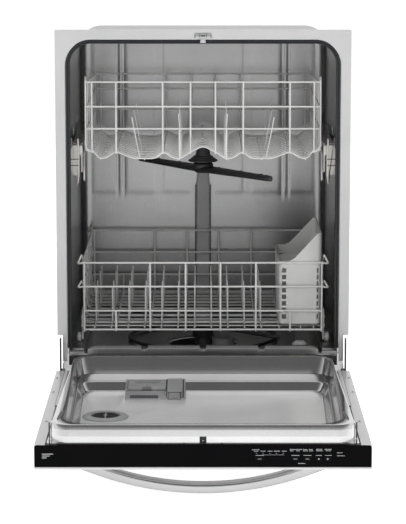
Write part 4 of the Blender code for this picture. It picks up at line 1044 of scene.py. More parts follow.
def make_flap():
    low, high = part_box("rinse_aid_flap")
    far, near = reach_of(high.y), reach_of(low.y)
    bm = bmesh.new()
    side_prism(bm, ((far, low.z + 0.0072), (far, high.z), (near, high.z - 0.0074), (near, low.z)), low.x,
               high.x, 0.0007, 3)
    flap = piece("aid_flap", bm, "rinse_aid_flap", "grey", ("rinse_aid_flap",), crease=35)
    cut = bmesh.new()
    middle = (low.x + high.x) / 2
    add_box(cut, (middle - 0.006, out(near + 0.001), low.z + 0.0012),
            (middle + 0.006, out(near - 0.004), high.z))
    carve(flap, cut)
    soften(flap, 0.0004)
    bm = bmesh.new()
    add_turned(bm, ((0, low.x + 0.001), (0.0011, low.x + 0.001), (0.0011, high.x - 0.001),
                    (0, high.x - 0.001)),
               (0, high.y - 0.0014, high.z - 0.0012), "X", 16)
    piece("flap_pin", bm, "rinse_aid_flap", "rail")


def make_vent():
    """The round vent: a dished bezel, a sunken grille of rings and a cross bar."""
    low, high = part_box("vent_cap")
    x, y, foot = (low.x + high.x) / 2, (low.y + high.y) / 2, low.z
    radius = (high.x - low.x) / 2
    bm = bmesh.new()
    profile = ((0.0275, foot), (radius, foot), (radius, foot + 0.001), (radius - 0.002, foot + 0.0026),
               (radius - 0.007, foot + 0.0042), (0.0315, foot + 0.0045), (0.029, foot + 0.004),
               (0.0275, foot + 0.002))
    add_turned(bm, profile, (x, y, 0), "Z", 64)
    piece("vent_bezel", bm, "door", "grey", ("vent_cap",), crease=40)
    bm = bmesh.new()
    add_turned(bm, ((0, foot), (0.0278, foot), (0.0278, foot + 0.0006), (0, foot + 0.0006)), (x, y, 0), "Z",
               48)
    for ring in (0.006, 0.0105, 0.015, 0.0195, 0.024):
        loop = ((ring - 0.0008, foot + 0.0004), (ring + 0.0008, foot + 0.0004),
                (ring + 0.0008, foot + 0.003), (ring - 0.0008, foot + 0.003))
        add_turned(bm, loop, (x, y, 0), "Z", 48)
    piece("vent_grille", bm, "door", "dark", crease=40)
    bm = bmesh.new()
    add_box(bm, (x - 0.001, y - 0.0276, foot + 0.0004), (x + 0.001, y + 0.0276, foot + 0.0036), 0.0004)
    add_turned(bm, ((0, foot + 0.0004), (0.0035, foot + 0.0004), (0.0035, foot + 0.0036),
                    (0.0026, foot + 0.0042),
                    (0, foot + 0.0042)), (x, y, 0), "Z", 24)
    piece("vent_bar", bm, "door", "grey", crease=40)


def make_latch():
    """The latch's dark mouth with a darker plate of painted shade for its sunken throat, a hook, and two
    small pips beside it.
    """
    low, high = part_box("door_latch")
    bm = bmesh.new()
    add_box(bm, low, high, 0.0005)
    add_box(bm, (low.x - 0.0004, low.y - 0.0006, low.z - 0.0002), (low.x + 0.001, high.y, high.z + 0.0003),
            0.0003)
    add_box(bm, (high.x - 0.001, low.y - 0.0006, low.z - 0.0002), (high.x + 0.0004, high.y, high.z + 0.0003),
            0.0003)
    piece("latch_mouth", bm, "door", "dark", ("door_latch",))
    # Painted shade: a darker plate on the mouth's face stands in for the shadow in its throat.
    bm = bmesh.new()
    add_box(bm, (low.x + 0.0014, low.y - 0.0002, low.z + 0.0016),
            (high.x - 0.0014, low.y + 0.0004, high.z - 0.0012), 0.0002)
    piece("latch_throat_shade", bm, "door", "rubber")
    bm = bmesh.new()
    add_box(bm, (-0.0012, low.y - 0.0006, low.z + 0.0022), (0.0012, low.y + 0.0002, low.z + 0.0048), 0.0004)
    piece("latch_hook", bm, "door", "rail")
    bm = bmesh.new()
    for hand in (-1, 1):
        add_turned(bm, ((0, -0.0004), (0.0018, -0.0004), (0.0018, 0.0005), (0.0012, 0.0009), (0, 0.0009)),
                   (hand * 0.034, out(0.6868), DOOR_PLANE), "Z", 20)
    piece("latch_pips", bm, "door", "shade")


# Racks

WIRE_R = 0.0021


def rack_ring(half_x, front, rear, level, radius=0.012, rear_level=None):
    """A closed level wire with rounded corners, which may slope towards the rear."""
    far = level if rear_level is None else rear_level
    corners = ((-half_x, front, level), (half_x, front, level), (half_x, rear, far), (-half_x, rear, far))
    return eased(corners, radius, True, 5), True


def make_lower_rack():
    half = 0.253
    front, rear = back(0.052), back(0.528)
    floor, foot = 0.24, 0.2355
    levels = (0.2756, 0.327, 0.3775)
    heavy, fine = [], []
    for level in levels:
        heavy.append(rack_ring(half, front, rear, level, 0.01))
    heavy.append(rack_ring(half, front, rear, foot, 0.01))
    for x in (0.0365, 0.1107):
        for hand in (-1, 1):
            heavy.append((eased(((hand * x, front - 0.001, levels[2] + 0.001),
                                 (hand * x, front - 0.001, foot - 0.004),
                                 (hand * x, front + 0.03, floor), (hand * x, rear - 0.03, floor),
                                 (hand * x, rear + 0.001, foot - 0.004),
                                 (hand * x, rear + 0.001, levels[2] + 0.001)),
                                0.006), False))
    for hand in (-1, 1):
        x = hand * 0.1825
        heavy.append((eased(((x, front - 0.001, levels[0] + 0.002), (x, front - 0.001, foot - 0.004),
                             (x, front + 0.03, floor), (x, rear - 0.03, floor),
                             (x, rear + 0.001, foot - 0.004),
                             (x, rear + 0.001, levels[0] + 0.002)), 0.006), False))
        for y in (front, rear):
            heavy.append((((hand * (half - 0.004), y, foot - 0.004), (hand * (half - 0.004), y, levels[2])),
                          False))
        for k in range(1, 6):
            y = front + (rear - front) * k / 6
            heavy.append((eased(((hand * (half + 0.001), y, levels[2]),
                                 (hand * (half + 0.001), y, foot + 0.006),
                                 (hand * (half - 0.01), y, floor - 0.002), (0, y, floor - 0.002)), 0.01),
                                 False))
        for y, inward in ((front, 1), (rear, -1)):
            for level, rise in ((levels[2], 0.016), (levels[1], 0.012)):
                ear = ((hand * (half - 0.005), y, level), (hand * (half + 0.0095), y, level - 0.0015),
                       (hand * (half + 0.001), y + inward * 0.004, level + rise),
                       (hand * half, y + inward * 0.03, level))
                heavy.append((eased(ear, 0.003), False))
    tine_x = [-0.2275 + 0.035 * k for k in range(11)]
    for x in tine_x:
        fine.append((((x, front + 0.001, floor + 0.0005), (x, rear - 0.001, floor + 0.0005)), False))
    for x in (0.16, 0.205, 0.232):
        fine.append((((x, front + 0.001, floor + 0.0005), (x, rear - 0.001, floor + 0.0005)), False))
    for depth in (0.12, 0.2, 0.33, 0.41):
        y = back(depth)
        fine.append((((-half, y, floor - 0.002), (half, y, floor - 0.002)), False))
        for x in tine_x:
            fine.append(((((x, y, floor), (x, y, 0.312), (x, y, 0.315))), False))
    for depth in (0.085, 0.16, 0.265, 0.37, 0.45, 0.49):
        fine.append((((-half, back(depth), floor - 0.002), (half, back(depth), floor - 0.002)), False))
    wires("lower_rack_frame", heavy, WIRE_R, "lower_rack", "coat", ("lower_rack",))
    wires("lower_rack_tines", fine, 0.0015, "lower_rack", "coat")
    for place in PLACES:
        for side, hand in HANDS:
            a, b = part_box(f"lower_wheel_{place}_{side}")
            y, z = (a.y + b.y) / 2, (a.z + b.z) / 2
            bm = bmesh.new()
            outline = ((y - 0.01, z + 0.055), (y + 0.004, z + 0.062), (y + 0.012, z + 0.03),
                       (y + 0.009, z - 0.004), (y, z - 0.008), (y - 0.009, z - 0.004), (y - 0.012, z + 0.03))
            sections = []
            for x in (0.252, 0.2556):
                sections.append([(x * hand, p[0], p[1]) for p in eased(outline, 0.005, True, 4)])
            add_solid(bm, sections)
            axle = ((0, 0.254), (0.003, 0.254), (0.003, 0.2658), (0.0044, 0.266), (0.0044, 0.2668),
                    (0, 0.2668))
            add_turned(bm, [(r, h * hand) for r, h in axle], (0, y, z), "X", 24)
            for rise in (0.022, 0.04):
                add_side_box(bm, hand, (0.25, y - 0.0075, z + rise), (0.2575, y + 0.0075, z + rise + 0.006),
                             0.0012)
            piece(f"wheel_carrier_{place}_{side}", bm, "lower_rack", "basket", crease=35, bevel=0.0004)
            make_wheel(f"lower_wheel_{place}_{side}", "basket", 6)


def make_wheel(node, look, spokes):
    """A spoked wheel with a rounded tread."""
    low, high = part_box(node)
    y, z = (low.y + high.y) / 2, (low.z + high.z) / 2
    radius = (high.z - low.z) / 2
    x0, x1 = low.x, high.x
    soft = 0.0012
    bm = bmesh.new()
    tread = ((radius * 0.72, x0 + 0.0008), (radius - soft, x0), (radius, x0 + soft), (radius, x1 - soft),
             (radius - soft, x1), (radius * 0.72, x1 - 0.0008))
    add_turned(bm, tread, (0, y, z), "X", 48)
    hub = ((0.0037, x0), (radius * 0.46, x0), (radius * 0.46, x1), (0.0037, x1))
    add_turned(bm, hub, (0, y, z), "X", 32)
    middle = (x0 + x1) / 2
    web = ((radius * 0.44, middle - 0.0011), (radius * 0.74, middle - 0.0011),
           (radius * 0.74, middle + 0.0011), (radius * 0.44, middle + 0.0011))
    add_turned(bm, web, (0, y, z), "X", 48)
    for k in range(spokes):
        angle = 2 * math.pi * k / spokes
        turn = Matrix.Translation((0, y, z)) @ Matrix.Rotation(angle, 4, "X")
        add_moved(bm, turn, add_box, (x0 + 0.001, -0.0007, radius * 0.44),
                  (x1 - 0.001, 0.0007, radius * 0.74))
    piece(f"{node}_turned", bm, node, look, (node,), crease=35)


WAVE = ((0.0, 0.6238), (0.0265, 0.6108), (0.0445, 0.5975), (0.062, 0.5975), (0.0815, 0.6122),
        (0.0985, 0.5975),
        (0.145, 0.5975), (0.181, 0.6118), (0.203, 0.5975), (0.2175, 0.5975), (0.227, 0.6128),
        (0.243, 0.6128))


def wave_paths(front, rear, count):
    """The floor's transverse wires, each running down, over the ridges and up to the sides."""
    half = [(x, z) for x, z in WAVE] + [(0.243, 0.624)]
    keys = [(-x, z) for x, z in reversed(half[1:])] + half
    paths = []
    for k in range(count):
        y = front + (rear - front) * k / (count - 1)
        line = eased([(x, y, z) for x, z in keys], 0.0085, steps=4)
        paths.append((line, False))
    return paths


def wave_height(x):
    x = min(abs(x), WAVE[-1][0])
    for (x0, z0), (x1, z1) in zip(WAVE, WAVE[1:]):
        if x <= x1:
            return z0 + (z1 - z0) * (x - x0) / (x1 - x0)
    return WAVE[-1][1]


UPPER_POSTS = (0.0258, 0.0835, 0.1803, 0.2305)


def make_upper_rack():
    """The upper rack: three rims, posts, a waved floor of thin wires and two rows of leaning tines a side."""
    half = 0.2425
    front, rear = back(0.052), back(0.498)
    levels = (0.659, 0.705, 0.756)
    rear_top = 0.7385
    heavy = [rack_ring(half, front, rear, levels[2], 0.006, rear_top)]
    heavy += [rack_ring(half, front, rear, level, 0.006) for level in (levels[1], levels[0])]
    fine = []
    for y, top in ((front - 0.001, levels[2]), (rear + 0.001, rear_top)):
        for x in UPPER_POSTS:
            for hand in (-1, 1):
                heavy.append((((hand * x, y, top + 0.001), (hand * x, y, wave_height(x) - 0.004)), False))
        for hand in (-1, 1):
            heavy.append((eased(((hand * (half + 0.001), y, top + 0.004), (hand * (half + 0.001), y, 0.62),
                                 (hand * (half - 0.009), y, 0.612), (hand * (half - 0.016), y, 0.6122)),
                                 0.006), False))
    for hand in (-1, 1):
        for level, rise in ((levels[2], 0.01), (levels[1], 0.0)):
            ear = ((hand * (half - 0.008), front, level), (hand * (half + 0.0012), front - 0.001, level),
                   (hand * (half + 0.0012), front + 0.006, level + rise), (hand * half, front + 0.03, level))
            heavy.append((eased(ear, 0.003), False))
    for k in range(1, 6):
        y = front + (rear - front) * k / 6
        for hand in (-1, 1):
            top = levels[2] + (rear_top - levels[2]) * k / 6
            heavy.append((((hand * (half + 0.001), y, top), (hand * (half + 0.001), y, 0.6128)), False))
    for x in (0.0, 0.053, 0.0815, 0.1215, 0.181, 0.2128):
        for hand in (-1, 1) if x else (1,):
            z = wave_height(x) - 0.003
            fine.append((((hand * x, front, z), (hand * x, rear, z)), False))
    waves = wave_paths(front, rear, 15)
    heavy += [waves[0], waves[-1]]
    fine += waves[1:-1]
    for depth in (0.052, 0.206, 0.36):
        y = back(depth)
        for hand in (-1, 1):
            for lean in (((0.1305, 0.5965), (0.14, 0.642), (0.1475, 0.683)),
                         ((0.0455, 0.5965), (0.0462, 0.63), (0.0505, 0.69))):
                fine.append((eased([(hand * x, y, z) for x, z in lean], 0.02), False))
    for hand in (-1, 1):
        heavy.append((((hand * 0.0488, front - 0.001, 0.6605), (hand * 0.0488, front - 0.001, 0.5945)),
                      False))
    wires("upper_rack_frame", heavy, 0.002, "upper_rack", "coat", ("upper_rack",))
    wires("upper_rack_floor", fine, 0.0012, "upper_rack", "coat")


def make_hangers():
    """Each side plate: a soft-edged plate with ribs, a lower tab and the roller axles."""
    for side, hand in HANDS:
        node = f"rack_hanger_{side}"
        bm = bmesh.new()
        outline = ((0.08, 0.632), (0.08, 0.62), (0.075, 0.61), (0.075, 0.545), (0.12, 0.545), (0.12, 0.596),
                   (0.135, 0.598), (0.485, 0.598), (0.485, 0.632))
        ring = eased(outline, 0.006, True, 4)
        sections = [[(x * hand, back(p[0]), p[1]) for p in ring] for x in (0.2475, 0.2494)]
        add_solid(bm, sections)
        for depth in (0.29, 0.475):
            axle = ((0, 0.2485), (0.0045, 0.2485), (0.0045, 0.2512), (0.0029, 0.2514), (0.0029, 0.2594),
                    (0, 0.2594))
            add_turned(bm, [(r, h * hand) for r, h in axle], (0, back(depth), 0.6147), "X", 24)
        for depth in (0.15, 0.21, 0.35, 0.41):
            add_side_box(bm, hand, (0.249, back(depth), 0.602), (0.25, back(depth + 0.003), 0.628), 0.0004)
        for z in (0.552, 0.566, 0.58):
            add_side_box(bm, hand, (0.249, back(0.079), z), (0.25, back(0.116), z + 0.003), 0.0004)
        piece(f"side_hanger_{side}", bm, "upper_rack", "rail", (node,), crease=35)


def make_rails():
    """The sliding rails: a rolled H section with lips, and a moulded stop at the front end."""
    for side, hand in HANDS:
        low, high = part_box(f"upper_rail_{side}")
        x0, x1 = (0.25, 0.2715)
        web = (0.2605, 0.2618)
        z0, z1 = low.z, high.z
        bm = bmesh.new()
        sheet = 0.0013
        outline = (
            (x0, z0), (x1, z0), (x1, z0 + 0.0035), (x1 - sheet, z0 + 0.0035), (x1 - sheet, z0 + sheet),
            (web[1], z0 + sheet), (web[1], z1 - sheet), (x1 - sheet, z1 - sheet), (x1 - sheet, z1 - 0.0035),
            (x1, z1 - 0.0035), (x1, z1), (x0, z1), (x0, z1 - 0.003), (x0 + sheet * 0.8, z1 - 0.003),
            (x0 + sheet * 0.8, z1 - sheet), (web[0], z1 - sheet), (web[0], z0 + sheet),
            (x0 + sheet * 0.8, z0 + sheet),
            (x0 + sheet * 0.8, z0 + 0.003), (x0, z0 + 0.003),
        )
        sections = [[(x * hand, y, z) for x, z in outline] for y in (low.y, high.y)]
        add_solid(bm, sections)
        piece(f"rail_{side}", bm, "upper_rails", "rail", (f"upper_rail_{side}",), crease=30, bevel=0.0003)
        bm = bmesh.new()
        sections = []
        for y, pinch in ((0.0345, 0.0025), (0.036, 0.0008), (0.0375, 0.0), (0.0487, 0.0), (0.049, 0.0005)):
            outline = ((0.2585 + pinch, 0.5455 + pinch), (0.26, 0.5455 + pinch), (0.26, 0.561 + pinch),
                       (0.2745 - pinch, 0.564 + pinch), (0.276 - pinch, 0.58), (0.276 - pinch, 0.616),
                       (0.2735 - pinch, 0.625), (0.2735 - pinch, 0.64 - pinch), (0.2718, 0.64 - pinch),
                       (0.27, 0.626), (0.26, 0.626), (0.26, 0.64 - pinch), (0.258 + pinch, 0.64 - pinch),
                       (0.256 + pinch, 0.618), (0.256 + pinch, 0.564))
            sections.append([(x * hand, back(y), z) for x, z in eased(outline, 0.0012, True, 2)])
        add_solid(bm, sections)
        for x0, x1, low_z, high_z, soft in ((0.2496, 0.2566, 0.6045, 0.6262, 0.003),
                                            (0.25, 0.2524, 0.57, 0.608, 0.0008)):
            add_side_box(bm, hand, (x0, back(0.038), low_z), (x1, back(0.049), high_z), soft, 4)
        piece(f"rail_stop_{side}", bm, "upper_rails", "beige", crease=35)
        # Painted shade: flat dark strips stand in for the shadowed grooves across the stop's face, with one
        # more along its top.
        groove_shade_bm = bmesh.new()
        for z in (0.5835, 0.5965):
            add_side_box(groove_shade_bm, hand, (0.2572, back(0.0343), z), (0.2748, back(0.0356), z + 0.0018))
        add_side_box(groove_shade_bm, hand, (0.253, back(0.0375), 0.6262), (0.2562, back(0.0485), 0.63), 0.0008)
        piece(f"rail_stop_groove_shade_{side}", groove_shade_bm, "upper_rails", "shade")


def make_basket():
    """The silverware basket: a moulded box with slotted columns and a rising rim."""
    low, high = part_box("silverware_basket")
    x0, x1, y0, y1, foot = low.x, high.x, low.y, high.y, low.z
    wall, shoulder = 0.002, 0.37
    rim_low, rise_from, rise_to = 0.38, 0.186, x1 - 0.008

    def rim(x):
        return rim_low + (high.z - rim_low) * min(max((x - rise_from) / (rise_to - rise_from), 0), 1)

    def ring(inset, radius):
        middle = (x0 + x1) / 2
        half = (x1 - x0) / 2 - inset
        return [(middle + x, y) for x, y in rounded_ring(half, y0 + inset, y1 - inset, radius, 8)]

    def filled(points):
        made = []
        for (ax, ay), (bx, by) in zip(points, points[1:] + points[:1]):
            count = max(1, round(math.hypot(bx - ax, by - ay) / 0.012))
            made += [(ax + (bx - ax) * k / count, ay + (by - ay) * k / count) for k in range(count)]
        return made

    bm = bmesh.new()
    outer = filled(ring(0.0, 0.01))
    inner = filled(ring(wall, 0.008))
    count = len(outer)
    taper = 0.93
    cx, cy = (x0 + x1) / 2, (y0 + y1) / 2

    def shrunk(points, share):
        grow = taper + (1 - taper) * share
        return [(cx + (x - cx) * (0.5 + grow / 2), cy + (y - cy) * (0.5 + grow / 2)) for x, y in points]

    base = shrunk(outer, 0.0)
    bm_outer = loft(bm, [
        [(cx + (x - cx) * 0.94, cy + (y - cy) * 0.97, foot) for x, y in base],
        [(x, y, foot + 0.003) for x, y in base],
        [(x, y, shoulder) for x, y in shrunk(outer, 1.0)],
        [(x, y, rim(x)) for x, y in outer]])
    step = len(inner) / count
    picked = [inner[int(k * step) % len(inner)] for k in range(count)]
    bm_inner = loft(bm, [
        [(x, y, rim(x)) for x, y in picked],
        [(x, y, shoulder) for x, y in shrunk(picked, 1.0)],
        [(x, y, foot + wall + 0.002) for x, y in shrunk(picked, 0.0)]])
    for k in range(count):
        j = (k + 1) % count
        bm.faces.new((bm_outer[-1][k], bm_outer[-1][j], bm_inner[0][j], bm_inner[0][k]))
    bm.faces.new(bm_outer[0])
    bm.faces.new(list(reversed(bm_inner[-1])))
    body = piece("basket_body", bm, "silverware_basket", "basket", ("silverware_basket",), crease=40)
    slots = bmesh.new()
    pitch, tall = 0.0141, 0.0098
    for k in range(8):
        z = 0.257 + pitch * k
        for x, width in ((0.1655, 0.009), (0.2385, 0.0034)):
            add_box(slots, (x, y0 - 0.004, z), (x + width, y0 + 0.012, z + tall))
            add_box(slots, (x, y1 - 0.012, z), (x + width, y1 + 0.004, z + tall))
        for j in range(11):
            y = y0 + 0.019 + 0.0188 * j
            add_box(slots, (x0 - 0.004, y, z), (x0 + 0.012, y + 0.012, z + tall))
            add_box(slots, (x1 - 0.012, y, z), (x1 + 0.004, y + 0.012, z + tall))
    for i in range(5):
        for j in range(14):
            a, b = x0 + 0.012 + 0.0145 * i, y0 + 0.014 + 0.0152 * j
            add_box(slots, (a, b, foot - 0.002), (a + 0.0085, b + 0.0095, foot + 0.006))
    carve(body, slots)
    bm = bmesh.new()
    for y in (y0 + (y1 - y0) / 3, y0 + 2 * (y1 - y0) / 3):
        outline = ((x0 + 0.004, foot + 0.004), (x1 - 0.004, foot + 0.004), (x1 - 0.004, rim(x1) - 0.02),
                   (x0 + 0.05, 0.372), (x0 + 0.004, shoulder))
        sections = [[(x, y + d, z) for x, z in outline] for d in (-0.0008, 0.0008)]
        add_solid(bm, sections)
    piece("basket_dividers", bm, "silverware_basket", "basket", crease=35)


# Spray arms and water path

def arm_piece(name, body, look, heights, reach, turn_degrees, hub, node):
    """A hollow arm: two tapering blades with chamfered edges, a hub, a seam and raised jets."""
    z0, z1 = heights
    turn = Matrix.Translation((0, ARM_AXIS_Y, 0)) @ Matrix.Rotation(math.radians(turn_degrees), 4, "Z")
    bm = bmesh.new()
    for flip in (0, 180):
        sections = []
        for share in (0.0, 0.06, 0.12, 0.25, 0.45, 0.65, 0.82, 0.92, 0.97, 0.99, 1.0):
            along = reach * share
            width = 0.0225 + (0.0115 - 0.0225) * smoothstep(0.05, 0.85, share)
            tip = math.sqrt(max(0.0, 1 - max(0.0, (share - 0.9) / 0.1) ** 2)) if share > 0.9 else 1.0
            width = max(width * tip, 0.0012)
            lift = 0.0016 * share
            bottom, top = z0 + lift, min(z1, z1 - 0.0006 + lift * 0.3)
            middle = (bottom + top) / 2
            section = ((-width, middle - 0.0006), (-width * 0.62, bottom), (width * 0.62, bottom),
                       (width, middle - 0.0006),
                       (width, middle + 0.0004), (width * 0.55, top), (-width * 0.55, top),
                       (-width, middle + 0.0004))
            sections.append([(along, a, z) for a, z in eased(section, 0.0015, True, 2)])
        place = turn @ Matrix.Rotation(math.radians(flip), 4, "Z")
        add_moved(bm, place, add_solid, sections)
    add_turned(bm, hub, (0, ARM_AXIS_Y, 0), "Z", 48)
    for flip in (0, 180):
        for k, share in enumerate((0.22, 0.38, 0.54, 0.7, 0.84, 0.94)):
            side = 0.0045 * (-1) ** k * (1 - share * 0.6)
            jet = ((0.0008, z1 - 0.001), (0.0036, z1 - 0.001), (0.0034, z1 + 0.0006), (0.0026, z1 + 0.0011),
                   (0.0008, z1 + 0.0006))
            place = turn @ Matrix.Rotation(math.radians(flip), 4, "Z")
            add_moved(bm, place, add_turned, jet, (reach * share, side, 0), "Z", 16)
    piece(name, bm, body, look, (node,), crease=35)


def make_arms():
    hub = ((0.0174, 0.1797), (0.0226, 0.1797), (0.023, 0.1803), (0.023, 0.2085), (0.0215, 0.2105),
           (0.018, 0.214), (0.012, 0.215), (0, 0.215), (0, 0.1905), (0.0174, 0.1905))
    arm_piece("lower_arm", "lower_spray_arm", "dark", (0.2035, 0.212), 0.228, -45.0,
              hub, "lower_spray_arm")
    hub = ((0, 0.542), (0.014, 0.542), (0.0165, 0.5428), (0.022, 0.548), (0.0225, 0.552), (0.022, 0.56),
           (0.0195, 0.563), (0.016, 0.5652), (0, 0.5652))
    arm_piece("upper_arm", "upper_spray_arm", "dark", (0.544, 0.5568), 0.24, -53.3, hub, "upper_spray_arm")


def make_manifold():
    """The duct under the upper rack and the stepped cone over the arm."""
    z = 0.5795
    bm = bmesh.new()
    duct = ((0, 0.262), (0.0105, 0.262), (0.011, 0.263), (0.011, 0.505), (0.0128, 0.506), (0.0128, 0.51),
            (0.011, 0.511), (0.011, 0.5272), (0.0104, 0.528), (0.0072, 0.528), (0.0068, 0.515), (0, 0.515))
    add_turned(bm, duct, (0, back(0), z), "Y", 40)
    cone = ((0, 0.5662), (0.03, 0.5662), (0.0318, 0.567), (0.032, 0.569), (0.0308, 0.5702), (0.027, 0.5716),
            (0.0262, 0.5738), (0.022, 0.5754), (0.0212, 0.5778), (0.0165, 0.58), (0.015, 0.586),
            (0.014, 0.5918), (0.0125, 0.593), (0, 0.593))
    add_turned(bm, cone, (0, ARM_AXIS_Y, 0), "Z", 48)
    for x in (-0.0125, 0.0125):
        add_box(bm, (x - 0.0014, back(0.3), z + 0.004), (x + 0.0014, back(0.5), z + 0.01), 0.0006)
    piece("rack_duct", bm, "upper_rack", "dark", ("upper_feed_manifold",), crease=35)


def make_float():
    low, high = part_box("float")
    x, y = (low.x + high.x) / 2, (low.y + high.y) / 2
    bm = bmesh.new()
    profile = ((0, 0.156), (0.003, 0.156), (0.0035, 0.1566), (0.0035, 0.2036), (0.0128, 0.2036),
               (0.014, 0.2),
               (0.0142, 0.195), (0.016, 0.195), (0.016, 0.201), (0.015, 0.205), (0.0125, 0.208),
               (0.009, 0.21), (0.0045, 0.2108), (0, 0.211))
    add_turned(bm, profile, (x, y, 0), "Z", 48)
    piece("float_dome", bm, "float", "clear", ("float",), crease=40)
    bm = bmesh.new()
    for dx in (-0.0062, 0.0062):
        add_turned(bm, ((0, 0.202), (0.003, 0.202), (0.003, 0.2092), (0.0022, 0.2102), (0, 0.2104)),
                   (x + dx, y - 0.004, 0), "Z", 24)
    piece("float_pips", bm, "float", "basket", crease=40)


# Base and hidden parts

def make_springs():
    """Real coils between hooked ends, along each side of the base."""
    for side in SIDES:
        low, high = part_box(f"door_spring_{side}")
        x, z = (low.x + high.x) / 2, (low.z + high.z) / 2
        radius = (high.x - low.x) / 2 - 0.0011
        y0, y1 = back(0.163), back(0.4)
        turns, per_turn = 84, 14
        coil = []
        for k in range(turns * per_turn + 1):
            angle = 2 * math.pi * k / per_turn
            share = k / (turns * per_turn)
            coil.append((x + radius * math.cos(angle), y0 + (y1 - y0) * share, z + radius * math.sin(angle)))
        lead = eased(((x, low.y + 0.001, z), (x, y0 - 0.008, z), (x + radius, y0 - 0.001, z)), 0.004)
        tail = eased(((x + radius, y1 + 0.001, z), (x, y1 + 0.008, z), (x, high.y - 0.001, z)), 0.004)
        wires(f"spring_coil_{side}", [(lead[:-1] + coil + tail[1:], False)], 0.0011, "cabinet", "zinc",
              (f"door_spring_{side}",), 1)


def make_element():
    radius = 0.16
    gap = math.asin(0.02 / radius)
    centre = back(0.4385) - radius * math.cos(gap)
    points = [(0.02, back(0.4385), 0.152), (0.02, back(0.4385), 0.174)]
    count = 96
    for k in range(count + 1):
        angle = gap + (2 * math.pi - 2 * gap) * k / count
        points.append((radius * math.sin(angle), centre + radius * math.cos(angle), 0.1785))
    points += [(-0.02, back(0.4385), 0.174), (-0.02, back(0.4385), 0.152)]
    wires("element_loop", [(eased(points, 0.004, steps=3), False)], 0.0039, "cabinet", "element",
          ("heating_element",), 4)


def make_sump():
    y = ARM_AXIS_Y
    bm = bmesh.new()
    outside = ((0, 0.1), (0.0735, 0.1), (0.0755, 0.102), (0.0755, 0.1575), (0.0875, 0.159), (0.088, 0.1596),
               (0.088, 0.1626), (0.0722, 0.1626), (0.072, 0.108), (0.07, 0.1042), (0.0172, 0.1042),
               (0.016, 0.106), (0.016, 0.186), (0.015, 0.188), (0, 0.188))
    add_turned(bm, outside, (0, y, 0), "Z", 64)
    for k in range(12):
        angle = 2 * math.pi * k / 12
        turn = Matrix.Translation((0, y, 0)) @ Matrix.Rotation(angle, 4, "Z")
        add_moved(bm, turn, add_box, (0.075, -0.0012, 0.108), (0.085, 0.0012, 0.1592), 0.0005)
    piece("sump_well", bm, "cabinet", "dark", ("sump",), crease=35)
    low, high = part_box("filter")
    x = (low.x + high.x) / 2
    bm = bmesh.new()
    profile = ((0, 0.1047), (0.024, 0.1047), (0.0245, 0.1052), (0.0245, 0.175), (0.0236, 0.1772),
               (0.0222, 0.178), (0.0192, 0.178), (0.0188, 0.177), (0.0186, 0.1505), (0, 0.1505))
    add_turned(bm, profile, (x, y, 0), "Z", 48)
    for k in range(14):
        z = 0.11 + 0.0042 * k
        ring = ((0.0243, z), (0.025, z + 0.0004), (0.025, z + 0.0014), (0.0243, z + 0.0018))
        add_turned(bm, ring, (x, y, 0), "Z", 48)
    add_box(bm, (x - 0.0185, y - 0.0016, 0.15), (x + 0.0185, y + 0.0016, 0.169), 0.0008)
    piece("filter_cup", bm, "cabinet", "grey", ("filter",), crease=35)


def make_pumps():
    low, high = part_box("circulation_pump")
    z = (low.z + high.z) / 2
    bm = bmesh.new()
    profile = [(0, 0.348), (0.044, 0.348), (0.045, 0.3492), (0.045, 0.372), (0.04, 0.376), (0.036, 0.379)]
    for k in range(9):
        d = 0.382 + 0.0072 * k
        profile += [(0.034, d), (0.034, d + 0.0036), (0.036, d + 0.004), (0.036, d + 0.0068)]
    profile += [(0.036, 0.45), (0.03, 0.4585), (0.02, 0.46), (0, 0.46)]
    add_turned(bm, profile, (0, back(0), z), "Y", 56)
    for k in range(6):
        angle = 2 * math.pi * k / 6
        spot = (0.0405 * math.sin(angle), back(0.3725), z + 0.0405 * math.cos(angle))
        screw(bm, spot, 0.0028, "Y", 1)
    piece("wash_pump", bm, "cabinet", "dark", ("circulation_pump",), crease=30)
    low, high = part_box("drain_pump")
    y, z = (low.y + high.y) / 2, (low.z + high.z) / 2
    bm = bmesh.new()
    profile = ((0, 0.0782), (0.025, 0.0782), (0.026, 0.0792), (0.026, 0.093), (0.0205, 0.097),
               (0.02, 0.0985),
               (0.02, 0.104), (0.0188, 0.1046), (0.0188, 0.126), (0.02, 0.1266), (0.02, 0.1392),
               (0.0192, 0.14), (0, 0.14))
    add_turned(bm, profile, (0, y, z), "X", 48)
    piece("waste_pump", bm, "cabinet", "grey", ("drain_pump",), crease=30)
    bm = bmesh.new()
    add_turned(bm, ((0.0186, 0.1062), (0.0196, 0.1066), (0.0196, 0.1244), (0.0186, 0.1248)), (0, y, z), "X",
               48)
    piece("waste_pump_coil", bm, "cabinet", "copper", crease=30)
    low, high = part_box("inlet_valve")
    bm = bmesh.new()
    add_box(bm, (low.x + 0.001, back(0.5), 0.0602), (high.x - 0.001, high.y, 0.0918), 0.002, 3)
    thread = [(0, 0.0512), (0.0088, 0.0512)]
    for k in range(6):
        base = 0.0516 + 0.0016 * k
        thread += [(0.0105, base), (0.0105, base + 0.0006), (0.0094, base + 0.001)]
    thread += [(0.0094, 0.064), (0, 0.064)]
    x, y = (low.x + high.x) / 2, back(0.508)
    add_turned(bm, thread, (x, y, 0), "Z", 36)
    add_turned(bm, ((0, 0.09), (0.0128, 0.09), (0.014, 0.0912), (0.014, 0.1168), (0.0128, 0.118),
                    (0, 0.118)), (x, y, 0), "Z", 40)
    add_box(bm, (x - 0.004, y + 0.01, 0.1), (x + 0.004, y + 0.02, 0.112), 0.001)
    piece("water_valve", bm, "cabinet", "basket", ("inlet_valve",), crease=35)


